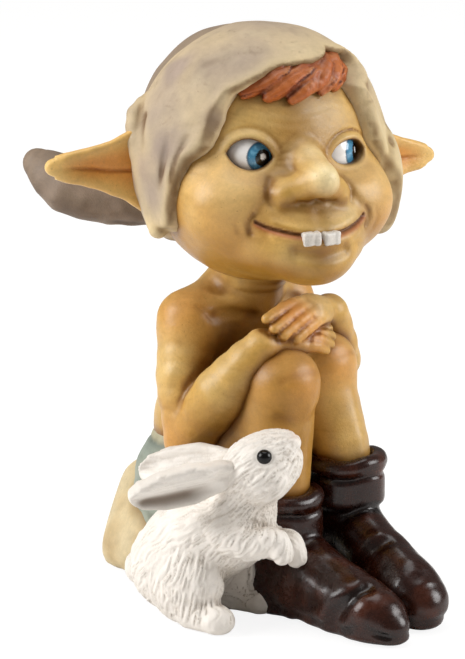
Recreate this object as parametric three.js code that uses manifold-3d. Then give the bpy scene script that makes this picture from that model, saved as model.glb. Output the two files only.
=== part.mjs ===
// A hand-painted cast-resin pixie that sits on a stone, hugs its knees and has a rabbit beside it.
// Millimetres, +Z up. The pixie's body faces -Y, and the origin lies on the table under its hips.
// Every casting is modelled whole, then moulded against the castings it is glued to.

import * as THREE from 'three';
import { mergeVertices } from 'three/addons/utils/BufferGeometryUtils.js';
import Module from 'manifold-3d';

const wasm = await Module();
wasm.setup();

// Glued joints

const GLUE_GAP = 0.3; // open joint between two castings
const DOWEL_RADIUS = 1.5; // steel pins in the neck and in the cap's tail
const NECK_DOWEL_LENGTH = 16;
const TAIL_DOWEL_LENGTH = 10;

// Seat, hips and trunk

const STONE_WIDTH = 31;
const STONE_DEPTH = 35.5;
const STONE_HEIGHT = 19.4;
const STONE_SIDE = -0.8; // the stone's middle, across the pixie
const STONE_BACK = 11.8; // behind the origin
const HIP_WIDTH = 32.4;
const HIP_DEPTH = 29.4;
const HIP_HEIGHT = 28.6; // the waistband above the table
const HIP_BACK = 4.8;
const HIP_FLOOR = 2.6; // the stone's thickness under the hips
const WAIST_WIDTH = 24;
const CHEST_WIDTH = 25;
const CHEST_DEPTH = 17;
const CHEST_LEAN = 1.6; // the chest's middle, in front of the hips'
const SHOULDER_HEIGHT = 48.8;
const SHOULDER_WIDTH = 22.4; // from one shoulder joint to the other
const NECK_WIDTH = 13.5;
const NECK_LENGTH = 11.1;
const TENON_DEPTH = 5; // how far a casting reaches into the one that holds it

// Legs and boots

const KNEE_DROP = 8.6; // from the shoulders down to the knees
const KNEE_HEIGHT = SHOULDER_HEIGHT - KNEE_DROP;
const KNEE_SPREAD = 12.7; // from one knee to the other
const KNEE_SHIFT = -0.35; // the knees' middle, to the pixie's left
const KNEE_REACH = { right: 18.6, left: 14.2 }; // in front of the origin
const KNEE_WIDTH = 13.3;
const CALF_WIDTH = 12;
const ANKLE_WIDTH = 9.4;
const THIGH_WIDTH = 13;
const SHORTS_SHARE = 0.5; // the part of the thigh that the shorts cover
const SHORTS_WALL = 1.6;
const BOOT_HEIGHT = { right: 21.8, left: 25.8 };
const BOOT_SPREAD = 14.2; // from one ankle to the other
const BOOT_SHIFT = -1.5; // the boots' middle, to the pixie's left
const BOOT_REACH = { right: 20.5, left: 21.5 }; // from the origin forward to the ankles
const BOOT_TOE = { right: 33, left: 29.3 }; // from the ankle to the toe's tip
const BOOT_HEEL = 7; // from the ankle to the back of the heel
const BOOT_WIDTH = 11.6;
const BOOT_TURN = { right: 1.5, left: -8 }; // degrees about Z, towards the pixie's left
const INSTEP_HEIGHT = { right: 9.8, left: 12.6 }; // the foot's top, where the toe's dome starts
const TOE_DOME = 9; // length of the toe's dome
const CUFF_HEIGHT = 7.5;
const CUFF_WIDTH = 14.6;
const CUFF_ROLL = 1.7; // radius of the rolled rim

// Arms and hands

const ARM_WIDTH = 9.6;
const ELBOW_HEIGHT = 28;
const ELBOW_SPREAD = 29.4;
const FOREARM_WIDTH = 8.4;
const WRIST_WIDTH = 6.4;
const HAND_SINK = 1.6; // how far the hands press in below the knees' tops
const HAND_WIDTH = 8.4;
const HAND_THICKNESS = 4.2;
const FINGER_WIDTH = 2.3;
const FINGER_LENGTH = 9;
const FINGERS = 4;

// Head

const HEAD_WIDTH = 41;
const HEAD_DEPTH = 37; // without the nose and the chin
const FACE_DEPTH = 17; // the part of the depth in front of the ears
const HEAD_HEIGHT = 42;
const HEAD_TURN = -17; // degrees about Z, towards the pixie's right
const HEAD_ROLL = 4; // degrees about Y, towards the pixie's left
const NOSE_LENGTH = 10;
const NOSE_WIDTH = 13;
const NOSE_RISE = 3; // the nose's middle above the head's middle
const EYE_SPREAD = 17.6;
const EYE_RISE = 3.2; // above the head's middle
const EYE_DEEP = 1; // the eyeball's middle behind the head's ovoid
const EYE_WIDTH = 8;
const EYE_HEIGHT = 6;
const MOUTH_WIDTH = 19.5;
const MOUTH_DROP = 8.4; // below the head's middle
const MOUTH_GAP = 1.3;
const SMILE = 2.2; // how far the corners rise above the lip's middle
const TOOTH_WIDTH = 3.2;
const TOOTH_HEIGHT = 2.4;
const TOOTH_DEPTH = 3;
const TOOTH_PROUD = 0.7; // how far the teeth stand in front of the lips
const TOOTH_SPACE = 0.5;
const EAR_LENGTH = 22;
const EAR_HEIGHT = 20; // at its root
const EAR_THICKNESS = 4.2;
const EAR_ROOT = 4; // the part of the ear that is sunk into the head

// Cap and hair

const CAP_WALL = 2.4;
const CAP_OPENING = 31; // width of the face opening at the eyes
const CAP_BROW = 17.8; // the opening's top above the head's middle
const FLAP_DROP = 10.5; // the cheek flaps' tips below the head's middle
const NAPE_DROP = 15; // the back edge below the head's middle
const FOLD_WIDTH = 2.6; // the rolled back edge of a cheek flap
const TAIL_WIDTH = 19; // across the tail where it leaves the cap
const TAIL_REACH = 15.5; // from the cap's back to the tail's tip
const TAIL_SWING = 26.8; // the tip's offset to the pixie's right
const TAIL_DROP = 8.7; // the tail's lowest bend below its start
const HAIR_WIDTH = 18;
const HAIR_HEIGHT = 8.5;
const HAIR_THICKNESS = 2.6;
const HAIR_LOCKS = 6;

// Rabbit

const RABBIT_SIDE = -21.2; // its middle, across the pixie
const RABBIT_REACH = 15.6; // in front of the origin
const RABBIT_TURN = 16; // degrees about Z, towards the pixie
const RABBIT_LENGTH = 19; // from rump to chest
const RABBIT_WIDTH = 18;
const RABBIT_BACK_HEIGHT = 23;
const RABBIT_HAUNCH = 18; // length and height of a thigh
const RABBIT_STANCE = 14; // from one hind foot to the other
const RABBIT_FOOT_LENGTH = 13;
const RABBIT_FOOT_WIDTH = 6;
const RABBIT_PAW_WIDTH = 5;
const RABBIT_HEAD_LENGTH = 17;
const RABBIT_HEAD_WIDTH = 12.2;
const RABBIT_HEAD_TURN = 26; // degrees about Z, further towards the pixie
const RABBIT_HEAD_LIFT = 35; // degrees that the nose points up
const RABBIT_EAR_LENGTH = 17.5;
const RABBIT_EAR_WIDTH = 9;
const RABBIT_EAR_THICKNESS = 2.8;
const RABBIT_EYE_WIDTH = 2.4;
const RABBIT_TAIL_WIDTH = 6.5;

// Painted finishes

const paint = (color, roughness) => new THREE.MeshStandardMaterial({ color, roughness, metalness: 0 });
const SKIN = paint(0xd8b477, 0.45);
const EAR_SKIN = paint(0xdfa763, 0.45);
const CAP_CREAM = paint(0xcfc1a8, 0.6);
const CAP_GREY = paint(0x8d8078, 0.65);
const HAIR_RED = paint(0xb5694a, 0.55);
const SHORTS_SAGE = paint(0x97a096, 0.65);
const BOOT_BROWN = paint(0x3a211a, 0.25);
const STONE_CREAM = paint(0xd6c3a0, 0.6);
const FUR_WHITE = paint(0xe9e4dc, 0.55);
const EYE_WHITE = paint(0xe8e4e0, 0.2);
const EYE_BLACK = paint(0x0c0a0a, 0.15);
const TOOTH_WHITE = paint(0xd9d6d6, 0.3);
const STEEL = new THREE.MeshStandardMaterial({ color: 0x9a9a9a, roughness: 0.4, metalness: 1 });

const degrees = THREE.MathUtils.degToRad;
const v3 = (x, y, z) => new THREE.Vector3(x, y, z);
const mirrored = (p, side) => v3(side * p.x, p.y, p.z);
const between = (a, b, share) => a.clone().lerp(b, share);
const UP = v3(0, 0, 1);

// Solids

// A closed geometry as a solid that can be joined and cut.
function solidOf(geometry) {
  const bare = geometry.index ? geometry.toNonIndexed() : geometry.clone();
  for (const name of Object.keys(bare.attributes)) {
    if (name !== 'position') bare.deleteAttribute(name);
  }
  const merged = mergeVertices(bare, 1e-4);
  return new wasm.Manifold(new wasm.Mesh({
    numProp: 3,
    vertProperties: merged.attributes.position.array,
    triVerts: new Uint32Array(merged.index.array),
  }));
}

// A solid as a geometry for a mesh.
function geometryOf(solid) {
  const { vertProperties, triVerts } = solid.getMesh();
  const geometry = new THREE.BufferGeometry();
  geometry.setAttribute('position', new THREE.BufferAttribute(vertProperties, 3));
  geometry.setIndex(new THREE.BufferAttribute(triVerts, 1));
  geometry.computeVertexNormals();
  return geometry;
}

// A skin over rings of points, which run anticlockwise about the way from the first pole to the last.
function skin(firstPole, rings, lastPole) {
  const sides = rings[0].length;
  const points = [firstPole, ...rings.flat(), lastPole];
  const last = points.length - 1;
  const faces = [];
  for (let j = 0; j < sides; j++) {
    const next = (j + 1) % sides;
    faces.push(0, 1 + next, 1 + j);
    for (let i = 0; i + 1 < rings.length; i++) {
      const low = 1 + i * sides;
      const high = low + sides;
      faces.push(low + j, low + next, high + next, low + j, high + next, high + j);
    }
    faces.push(last, last - sides + j, last - sides + next);
  }
  const geometry = new THREE.BufferGeometry().setFromPoints(points);
  geometry.setIndex(faces);
  return solidOf(geometry);
}

// The values at a curve's points, at a share of the way along it.
function along(values, share) {
  const place = share * (values.length - 1);
  const low = Math.min(Math.floor(place), values.length - 2);
  const t = THREE.MathUtils.smoothstep(place - low, 0, 1);
  return values[low].map((value, axis) => THREE.MathUtils.lerp(value, values[low + 1][axis], t));
}

// A limb swept along a smooth line through points, with an oval section at each point and domed ends.
// A section is [half width across `up`, half thickness along it].
function limb(points, sections, { sides = 10, steps = 5, up = UP, dome = 0.8 } = {}) {
  const DOME_RINGS = [0.75];
  const line = new THREE.CatmullRomCurve3(points, false, 'centripetal');
  const rings = [];
  const ring = (share, shift, scale) => {
    const tangent = line.getTangent(share);
    const across = new THREE.Vector3().crossVectors(up, tangent).normalize();
    const over = new THREE.Vector3().crossVectors(tangent, across);
    const [wide, thick] = along(sections, share);
    const reach = dome * Math.min(wide, thick);
    const middle = line.getPoint(share).addScaledVector(tangent, shift * reach);
    if (scale === 0) return middle;
    return Array.from({ length: sides }, (_, j) => {
      const angle = (2 * Math.PI * j) / sides;
      return middle.clone()
        .addScaledVector(across, wide * scale * Math.cos(angle))
        .addScaledVector(over, thick * scale * Math.sin(angle));
    });
  };
  for (const height of DOME_RINGS) rings.push(ring(0, -height, Math.sqrt(1 - height * height)));
  for (let i = 0; i <= steps; i++) rings.push(ring(i / steps, 0, 1));
  for (const height of [...DOME_RINGS].reverse()) rings.push(ring(1, height, Math.sqrt(1 - height * height)));
  return skin(ring(0, -1, 0), rings, ring(1, 1, 0));
}

const round = (...widths) => widths.map((width) => [width / 2, width / 2]);

// Where a point of a surface goes when it is worked like clay: each move pulls what lies near a point,
// less towards its reach.
function worked(start, moves) {
  const point = start.clone();
  for (const { at, by, reach } of moves) {
    const t = start.distanceTo(at) / reach;
    if (t < 1) point.addScaledVector(by, (1 - t * t) ** 2);
  }
  return point;
}

// A worked ovoid, with its facets around and down it. Its front half may be less deep than its back half.
function clay(middle, half, moves, [around, down], front = half.y) {
  const geometry = new THREE.SphereGeometry(1, around, down).rotateX(Math.PI / 2);
  geometry.scale(half.x, half.y, half.z);
  const position = geometry.attributes.position;
  for (let i = 0; i < position.count; i++) {
    const start = new THREE.Vector3().fromBufferAttribute(position, i);
    if (start.y < 0) start.y *= front / half.y;
    const point = worked(start, moves);
    position.setXYZ(i, point.x, point.y, point.z);
  }
  return solidOf(geometry.translate(middle.x, middle.y, middle.z));
}

const bothSides = (at, by, reach) => [-1, 1]
  .map((side) => ({ at: mirrored(at, side), by: mirrored(by, side), reach }));

const joined = (solids) => solids.reduce((whole, next) => whole.add(next));

// A plate of an outline drawn in X and Z, which reaches from one Y to another.
function slab(shape, fromY, toY) {
  const geometry = new THREE.ExtrudeGeometry(shape,
    { depth: toY - fromY, bevelEnabled: false, curveSegments: 8 });
  return solidOf(geometry.rotateX(Math.PI / 2).translate(0, toY, 0));
}

// What lies below the table, for cutting feet flat.
const belowTable = solidOf(new THREE.BoxGeometry(400, 400, 100).translate(0, 0, -50));
const onTable = (solid) => solid.subtract(belowTable);

// A solid whose whole surface has moved out by a distance.
function swollen(solid, distance) {
  const SHARPEST = 0.4; // keeps the corner of a feather edge from running away
  const geometry = geometryOf(solid);
  const position = geometry.attributes.position;
  const index = geometry.index.array;
  const facing = Array.from({ length: position.count }, () => new THREE.Vector3());
  const faces = [];
  const [a, b, c] = [v3(), v3(), v3()];
  for (let i = 0; i < index.length; i += 3) {
    const corners = [index[i], index[i + 1], index[i + 2]];
    [a, b, c].forEach((p, k) => p.fromBufferAttribute(position, corners[k]));
    const normal = new THREE.Triangle(a, b, c).getNormal(new THREE.Vector3());
    const angles = [[a, b, c], [b, c, a], [c, a, b]]
      .map(([p, q, r]) => q.clone().sub(p).angleTo(r.clone().sub(p)));
    corners.forEach((corner, k) => facing[corner].addScaledVector(normal, angles[k]));
    faces.push({ corners, normal });
  }
  const least = new Float32Array(position.count).fill(1);
  facing.forEach((direction) => direction.normalize());
  for (const { corners, normal } of faces) {
    for (const corner of corners) least[corner] = Math.min(least[corner], facing[corner].dot(normal));
  }
  for (let i = 0; i < position.count; i++) {
    a.fromBufferAttribute(position, i).addScaledVector(facing[i], distance / Math.max(least[i], SHARPEST));
    position.setXYZ(i, a.x, a.y, a.z);
  }
  return solidOf(geometry);
}

// The main body of a cut casting, without the crumbs and slivers that a cut leaves.
function mainBody(solid) {
  const FINEST = 0.02;
  const bodies = solid.simplify(FINEST).decompose();
  return bodies.reduce((best, body) => (body.volume() > best.volume() ? body : best));
}

// Groups

const pixie = new THREE.Group();
const castings = []; // what is already placed, in the pixie's frame

function boxesMeet(first, second) {
  return [0, 1, 2].every((axis) => first.min[axis] < second.max[axis] && second.min[axis] < first.max[axis]);
}

// Puts a solid, which is drawn in its group's frame, among the castings that it is glued to.
function place(group, name, material, drawn) {
  group.updateWorldMatrix(true, false);
  const whole = drawn.transform(group.matrixWorld.elements);
  const box = whole.boundingBox();
  const neighbours = castings.filter((casting) => boxesMeet(casting.boundingBox(), box));
  const cut = mainBody(neighbours.reduce((rest, casting) => rest.subtract(casting), whole));
  castings.push(swollen(whole, GLUE_GAP));
  const local = cut.transform(group.matrixWorld.clone().invert().elements);
  const mesh = new THREE.Mesh(geometryOf(local), material.clone());
  mesh.name = name;
  group.add(mesh);
}

const SIDES = [['right', -1], ['left', 1]];

// Trunk

const waist = v3(0, HIP_BACK + 1.5, HIP_HEIGHT);
const chest = v3(0, HIP_BACK - CHEST_LEAN, THREE.MathUtils.lerp(HIP_HEIGHT, SHOULDER_HEIGHT, 0.62));
const collar = v3(0, -2, SHOULDER_HEIGHT + 1.5);
const shoulderAt = (side) => v3((side * SHOULDER_WIDTH) / 2, 1, SHOULDER_HEIGHT);
const neckTop = collar.clone().add(v3(0, -0.3, 0.95).setLength(NECK_LENGTH));

function torso() {
  const foot = waist.clone().setZ(HIP_HEIGHT - TENON_DEPTH);
  const trunk = limb(
    [foot, waist, chest, between(chest, collar, 0.6), collar],
    [
      [WAIST_WIDTH / 2, CHEST_DEPTH * 0.56],
      [WAIST_WIDTH / 2, CHEST_DEPTH * 0.56],
      [CHEST_WIDTH / 2, CHEST_DEPTH / 2],
      [CHEST_WIDTH / 2, CHEST_DEPTH * 0.47],
      [CHEST_WIDTH * 0.34, CHEST_DEPTH * 0.36],
    ],
    { sides: 14, steps: 7, up: v3(0, -1, 0), dome: 0.35 },
  );
  const neckFoot = between(chest, collar, 0.7);
  const neck = limb([neckFoot, collar, neckTop], round(NECK_WIDTH * 1.25, NECK_WIDTH, NECK_WIDTH * 0.95),
    { sides: 12, steps: 2, up: v3(0, -1, 0), dome: 0.2 });
  const yoke = limb([shoulderAt(-1), collar.clone().add(v3(0, 1.2, -0.4)), shoulderAt(1)],
    round(ARM_WIDTH * 0.92, NECK_WIDTH, ARM_WIDTH * 0.92), { steps: 4, dome: 0.4 });
  return joined([trunk, neck, yoke]);
}

const headGroup = new THREE.Group();
headGroup.position.copy(neckTop).add(v3(0, -1, HEAD_HEIGHT / 2 - TENON_DEPTH));
headGroup.rotation.set(0, degrees(HEAD_ROLL), degrees(HEAD_TURN));
pixie.add(headGroup);

function neckDowel() {
  const pin = new THREE.CylinderGeometry(DOWEL_RADIUS, DOWEL_RADIUS, NECK_DOWEL_LENGTH, 10);
  return solidOf(pin.rotateX(Math.PI / 2).translate(neckTop.x, neckTop.y, neckTop.z));
}

// Head, in a frame at its middle that faces -Y

const headHalf = v3(HEAD_WIDTH / 2, HEAD_DEPTH - FACE_DEPTH, HEAD_HEIGHT / 2);

// The front of the head's ovoid above a place on the face.
function faceDepth(x, z) {
  const inside = 1 - (x / headHalf.x) ** 2 - (z / headHalf.z) ** 2;
  return -FACE_DEPTH * Math.sqrt(Math.max(inside, 0));
}

const onFace = (x, z, proud = 0) => v3(x, faceDepth(x, z) - proud, z);

const FACE_MOVES = [
  ...bothSides(onFace(headHalf.x * 0.62, -headHalf.z * 0.26), v3(1.7, -6, -0.8), 12), // cheeks
  { at: onFace(0, -headHalf.z * 0.66), by: v3(0, -11.4, -1.8), reach: 14 }, // chin
  { at: onFace(0, -headHalf.z * 0.4), by: v3(0, -3.2, 0), reach: 12 }, // muzzle
];

// A place on the lips, from the right corner at -1 to the left one at 1.
function smileAt(share) {
  const start = onFace((share * MOUTH_WIDTH) / 2, -MOUTH_DROP + SMILE * share * share);
  return worked(start, FACE_MOVES);
}

function nose() {
  const bridge = onFace(0, NOSE_RISE + 1.8, -1.4);
  const tip = onFace(0, NOSE_RISE - 1, NOSE_LENGTH - 2);
  const ridge = limb([bridge, tip],
    [[0.22, 0.17], [0.18, 0.15]].map(([wide, thick]) => [NOSE_WIDTH * wide, NOSE_WIDTH * thick]),
    { sides: 8, steps: 2 });
  const wings = SIDES.map(([, side]) => {
    const wing = onFace(side * NOSE_WIDTH * 0.36, NOSE_RISE - 4.6, NOSE_LENGTH * 0.3);
    return limb([tip.clone().add(v3(0, 0.5, -1)), wing], round(NOSE_WIDTH * 0.3, NOSE_WIDTH * 0.36),
      { sides: 8, steps: 2 });
  });
  return joined([ridge, ...wings]);
}

function mouthSlit() {
  const points = [-1, -0.5, 0, 0.5, 1].map(smileAt);
  const sections = [0.6, 1, 1, 1, 0.6].map((share) => [2, (share * MOUTH_GAP) / 2]);
  return limb(points, sections, { sides: 4, steps: 6 });
}

const SKULL_FACETS = [26, 18];
const skull = clay(v3(0, 0, 0), headHalf, FACE_MOVES, SKULL_FACETS, FACE_DEPTH);

const head = () => skull.add(nose()).subtract(mouthSlit());

function eye(side) {
  const middle = onFace((side * EYE_SPREAD) / 2, EYE_RISE, -EYE_DEEP);
  return clay(middle, v3(EYE_WIDTH / 2, EYE_HEIGHT * 0.42, EYE_HEIGHT / 2), [], [10, 6]);
}

function tooth(side) {
  const EDGE = 0.3;
  const outline = new THREE.Shape();
  const half = TOOTH_WIDTH / 2 - EDGE;
  outline.moveTo(-half, EDGE - TOOTH_HEIGHT).lineTo(half, EDGE - TOOTH_HEIGHT);
  outline.lineTo(half, 0).lineTo(-half, 0);
  const bevel = { bevelEnabled: true, bevelSize: EDGE, bevelThickness: EDGE, bevelSegments: 1 };
  const block = new THREE.ExtrudeGeometry(outline, { depth: TOOTH_DEPTH - 2 * EDGE, ...bevel });
  const lip = smileAt(0);
  const offset = (side * (TOOTH_WIDTH + TOOTH_SPACE)) / 2;
  block.rotateX(Math.PI / 2).translate(offset, lip.y + TOOTH_DEPTH - TOOTH_PROUD, lip.z + MOUTH_GAP);
  return solidOf(block);
}

function ear(side) {
  const root = v3(headHalf.x - EAR_ROOT, 2.2, -1.4);
  const tip = root.clone().add(v3(0.96, 0.27, -0.03).setLength(EAR_LENGTH));
  const middle = between(root, tip, 0.5).add(v3(0, 0.5, 0.3));
  const blade = [[0.5, 0.5], [0.25, 0.45], [0.09, 0.3]]
    .map(([tall, thick]) => [EAR_HEIGHT * tall, EAR_THICKNESS * thick]);
  const bowl = [[0.38, 0.34], [0.17, 0.3], [0.03, 0.1]]
    .map(([tall, thick]) => [EAR_HEIGHT * tall, EAR_THICKNESS * thick]);
  const forward = v3(0.05, -EAR_THICKNESS * 0.52, 0);
  const ways = [root, middle, tip].map((p) => mirrored(p, side));
  const scoopWays = [between(root, tip, 0.12), middle, between(root, tip, 0.82)]
    .map((p) => mirrored(p.clone().add(forward), side));
  const front = { up: v3(0, 1, 0), sides: 10, steps: 5 };
  return limb(ways, blade, front).subtract(limb(scoopWays, bowl, { ...front, sides: 8, steps: 4 }));
}

// Hair and cap

function hairTuft() {
  const low = CAP_BROW - HAIR_HEIGHT * 0.75;
  const high = Math.min(CAP_BROW + HAIR_HEIGHT * 0.25, headHalf.z * 0.88);
  const locks = Array.from({ length: HAIR_LOCKS }, (_, i) => {
    const share = (2 * i) / (HAIR_LOCKS - 1) - 1;
    const crown = onFace(share * HAIR_WIDTH * 0.3 + 2, high, -0.3);
    const belly = onFace(share * HAIR_WIDTH * 0.46, (low + high) / 2, HAIR_THICKNESS * 0.45);
    const tip = onFace(share * HAIR_WIDTH * 0.5 - 1.2, low + 2.4 * share * share, HAIR_THICKNESS * 0.2);
    const width = (0.75 * HAIR_WIDTH) / HAIR_LOCKS;
    const sections = [[0.8, 0.4], [1, 0.5], [0.5, 0.25]]
      .map(([wide, thick]) => [width * wide, HAIR_THICKNESS * thick]);
    return limb([crown, belly, tip], sections, { sides: 6, steps: 3, up: v3(0, -1, 0.4) });
  });
  return joined(locks);
}

const capHalf = headHalf.clone().addScalar(CAP_WALL);

// What the cap leaves bare: the face in front, and all below the nape and the flaps' tips.
function capOpening() {
  const half = CAP_OPENING / 2;
  const arch = new THREE.Shape();
  arch.moveTo(-half * 1.3, -2 * capHalf.z).lineTo(half * 1.3, -2 * capHalf.z).lineTo(half * 1.3, -FLAP_DROP);
  arch.bezierCurveTo(half * 1.34, -FLAP_DROP * 0.4, half * 1.1, 0, half, CAP_BROW * 0.3);
  arch.bezierCurveTo(half * 0.9, CAP_BROW * 0.7, half * 0.6, CAP_BROW, 0, CAP_BROW * 1.08);
  arch.bezierCurveTo(-half * 0.6, CAP_BROW, -half * 0.9, CAP_BROW * 0.7, -half, CAP_BROW * 0.3);
  arch.bezierCurveTo(-half * 1.1, 0, -half * 1.34, -FLAP_DROP * 0.4, -half * 1.3, -FLAP_DROP);
  const reach = 2 * capHalf.y;
  const floor = new THREE.BoxGeometry(4 * capHalf.x, 2 * reach, reach);
  const underFlaps = solidOf(floor.clone().translate(0, -reach, -FLAP_DROP - reach / 2));
  const underNape = solidOf(floor.translate(0, 0, -NAPE_DROP - reach / 2));
  return joined([slab(arch, -reach, 0), underFlaps, underNape]);
}

// The rolled back edge of a cheek flap, in front of the ear.
function flapFold(side) {
  const way = [[0.72, 0.29, 0.46], [0.95, 0.17, 0.14], [0.89, 0.04, -0.23], [0.855, -0.08, -0.4]]
    .map(([x, y, z]) => v3(side * capHalf.x * x, capHalf.y * y, capHalf.z * z));
  return limb(way, round(FOLD_WIDTH * 0.6, FOLD_WIDTH, FOLD_WIDTH, FOLD_WIDTH), { sides: 6 });
}

function cap() {
  const bagHalf = v3(capHalf.x * 0.86, capHalf.y * 0.84, capHalf.z * 0.86);
  const bag = clay(v3(0, capHalf.y * 0.3, capHalf.z * 0.12), bagHalf, [], [18, 10]);
  const hood = swollen(skull, CAP_WALL).add(bag).subtract(capOpening());
  return joined([hood, ...SIDES.map(([, side]) => flapFold(side))]);
}

const tailStart = v3(-1, headHalf.y * 0.92, -headHalf.z * 0.07);
const tailWay = (swing, reach, drop) => tailStart.clone()
  .add(v3(-TAIL_SWING * swing, TAIL_REACH * reach, -TAIL_DROP * drop));

function capTail() {
  const bends = [[0, 0, 0], [0.3, 0.32, 0.75], [0.6, 0.52, 1], [0.84, 0.72, 0.9], [1, 1, 0.56]];
  const widths = [1, 0.77, 0.58, 0.48, 0.27].map((share) => share * TAIL_WIDTH);
  return limb(bends.map((bend) => tailWay(...bend)), round(...widths), { sides: 12, steps: 9 });
}

function tailDowel() {
  const pin = new THREE.CylinderGeometry(DOWEL_RADIUS, DOWEL_RADIUS, TAIL_DOWEL_LENGTH, 10);
  return solidOf(pin.translate(tailStart.x, headHalf.y + CAP_WALL, tailStart.z - TAIL_DROP * 0.1));
}

// Legs, shorts, boots and stone

const ofSide = (pair, side) => (side < 0 ? pair.right : pair.left);
const kneeAt = (side) => v3((side * KNEE_SPREAD) / 2 + KNEE_SHIFT, -ofSide(KNEE_REACH, side), KNEE_HEIGHT);
const hipAt = (side) => v3(side * HIP_WIDTH * 0.25, HIP_BACK, HIP_HEIGHT * 0.52);
const ankleAt = (side) => v3((side * BOOT_SPREAD) / 2 + BOOT_SHIFT, -ofSide(BOOT_REACH, side),
  ofSide(BOOT_HEIGHT, side));

function leg(side) {
  const [hip, knee, ankle] = [hipAt(side), kneeAt(side), ankleAt(side)];
  const hem = between(hip, knee, SHORTS_SHARE);
  const start = between(hip, hem, 1 - TENON_DEPTH / hip.distanceTo(hem));
  const end = ankle.clone().add(v3(0, 0, -TENON_DEPTH));
  const calf = between(knee, ankle, 0.4).add(v3(0, 0.8, 0));
  const thigh = limb([start, knee], round(THIGH_WIDTH * 0.94, KNEE_WIDTH), { sides: 12, steps: 2 });
  const shin = limb([knee, calf, ankle, end], round(KNEE_WIDTH, CALF_WIDTH, ANKLE_WIDTH, ANKLE_WIDTH * 0.85),
    { sides: 12, steps: 6, up: v3(0, -1, 0) });
  return thigh.add(shin);
}

function shorts() {
  const half = v3(HIP_WIDTH / 2, HIP_DEPTH / 2, (HIP_HEIGHT + 0.8 - HIP_FLOOR) / 2);
  const hips = clay(v3(0, HIP_BACK, HIP_FLOOR + half.z), half,
    [{ at: v3(0, 0, half.z), by: v3(0, 0, -1.5), reach: half.x }], [20, 12]);
  const sleeves = SIDES.map(([, side]) => limb(
    [hipAt(side), between(hipAt(side), kneeAt(side), SHORTS_SHARE)],
    round(THIGH_WIDTH + 4 * SHORTS_WALL, THIGH_WIDTH + 2 * SHORTS_WALL), { sides: 12, steps: 2, dome: 0.15 },
  ));
  return onTable(joined([hips, ...sleeves]));
}

function boot(side) {
  const toe = ofSide(BOOT_TOE, side);
  const ankle = ankleAt(side);
  const top = ankle.z;
  const half = BOOT_WIDTH / 2;
  const foot = limb(
    [[BOOT_HEEL - half, 4.6], [0, 5.5], [-toe * 0.35, 5], [-toe * 0.7, 4.4], [3.6 - toe, 3.6]]
      .map(([y, z]) => v3(0, y, z)),
    [[half * 0.85, 5], [half * 0.9, 7.4], [half * 0.95, 6.6], [half, 5.4], [half * 0.72, 3.9]],
    { sides: 12, steps: 7, dome: 0.9 },
  );
  const shaft = limb([v3(0, 0.5, 4), v3(0, 0.6, top * 0.45), v3(0, 0, top - CUFF_HEIGHT * 0.6)],
    round(BOOT_WIDTH, BOOT_WIDTH * 0.98, CUFF_WIDTH * 0.8), { sides: 12, steps: 3, up: v3(0, -1, 0) });
  const crest = ofSide(INSTEP_HEIGHT, side) - half * 0.86;
  const instep = limb([v3(0, -1, top * 0.56), v3(0, TOE_DOME - toe, crest)],
    round(BOOT_WIDTH * 0.86, BOOT_WIDTH * 0.84), { sides: 10, steps: 2 });
  const rim = CUFF_WIDTH / 2 - CUFF_ROLL;
  const profile = new THREE.Path();
  profile.moveTo(0, -CUFF_HEIGHT);
  profile.lineTo(rim * 0.78, -CUFF_HEIGHT);
  profile.bezierCurveTo(rim * 1.34, -CUFF_HEIGHT * 0.9, rim * 1.3, -CUFF_ROLL * 2.2, rim, -CUFF_ROLL * 1.6);
  profile.absarc(rim, -CUFF_ROLL * 0.6, CUFF_ROLL, -Math.PI / 2, Math.PI * 0.75, false);
  profile.lineTo(0, 0);
  const cuff = new THREE.LatheGeometry(profile.getPoints(3), 14).rotateX(Math.PI / 2).translate(0, 0, top);
  const whole = onTable(joined([foot, shaft, instep, solidOf(cuff)]));
  return whole.rotate([0, 0, ofSide(BOOT_TURN, side)]).translate([ankle.x, ankle.y, 0]);
}

function seatStone() {
  const half = v3(STONE_WIDTH / 2, STONE_DEPTH / 2, STONE_HEIGHT * 0.7);
  const lumps = [
    { at: v3(half.x * 0.7, half.y * 0.4, 0), by: v3(1.5, 0.5, -0.6), reach: 11 },
    { at: v3(-half.x * 0.8, half.y * 0.2, -half.z * 0.3), by: v3(1.4, 0, 0), reach: 7 },
    { at: v3(half.x * 0.2, half.y * 0.9, -half.z * 0.2), by: v3(0, -1.3, 0), reach: 7 },
  ];
  return onTable(clay(v3(STONE_SIDE, STONE_BACK, STONE_HEIGHT - half.z), half, lumps, [20, 12]));
}

// Arms

const elbowAt = (side) => v3((side * ELBOW_SPREAD) / 2, -3, ELBOW_HEIGHT);
const handHeight = KNEE_HEIGHT + KNEE_WIDTH / 2 - HAND_SINK;

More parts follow.
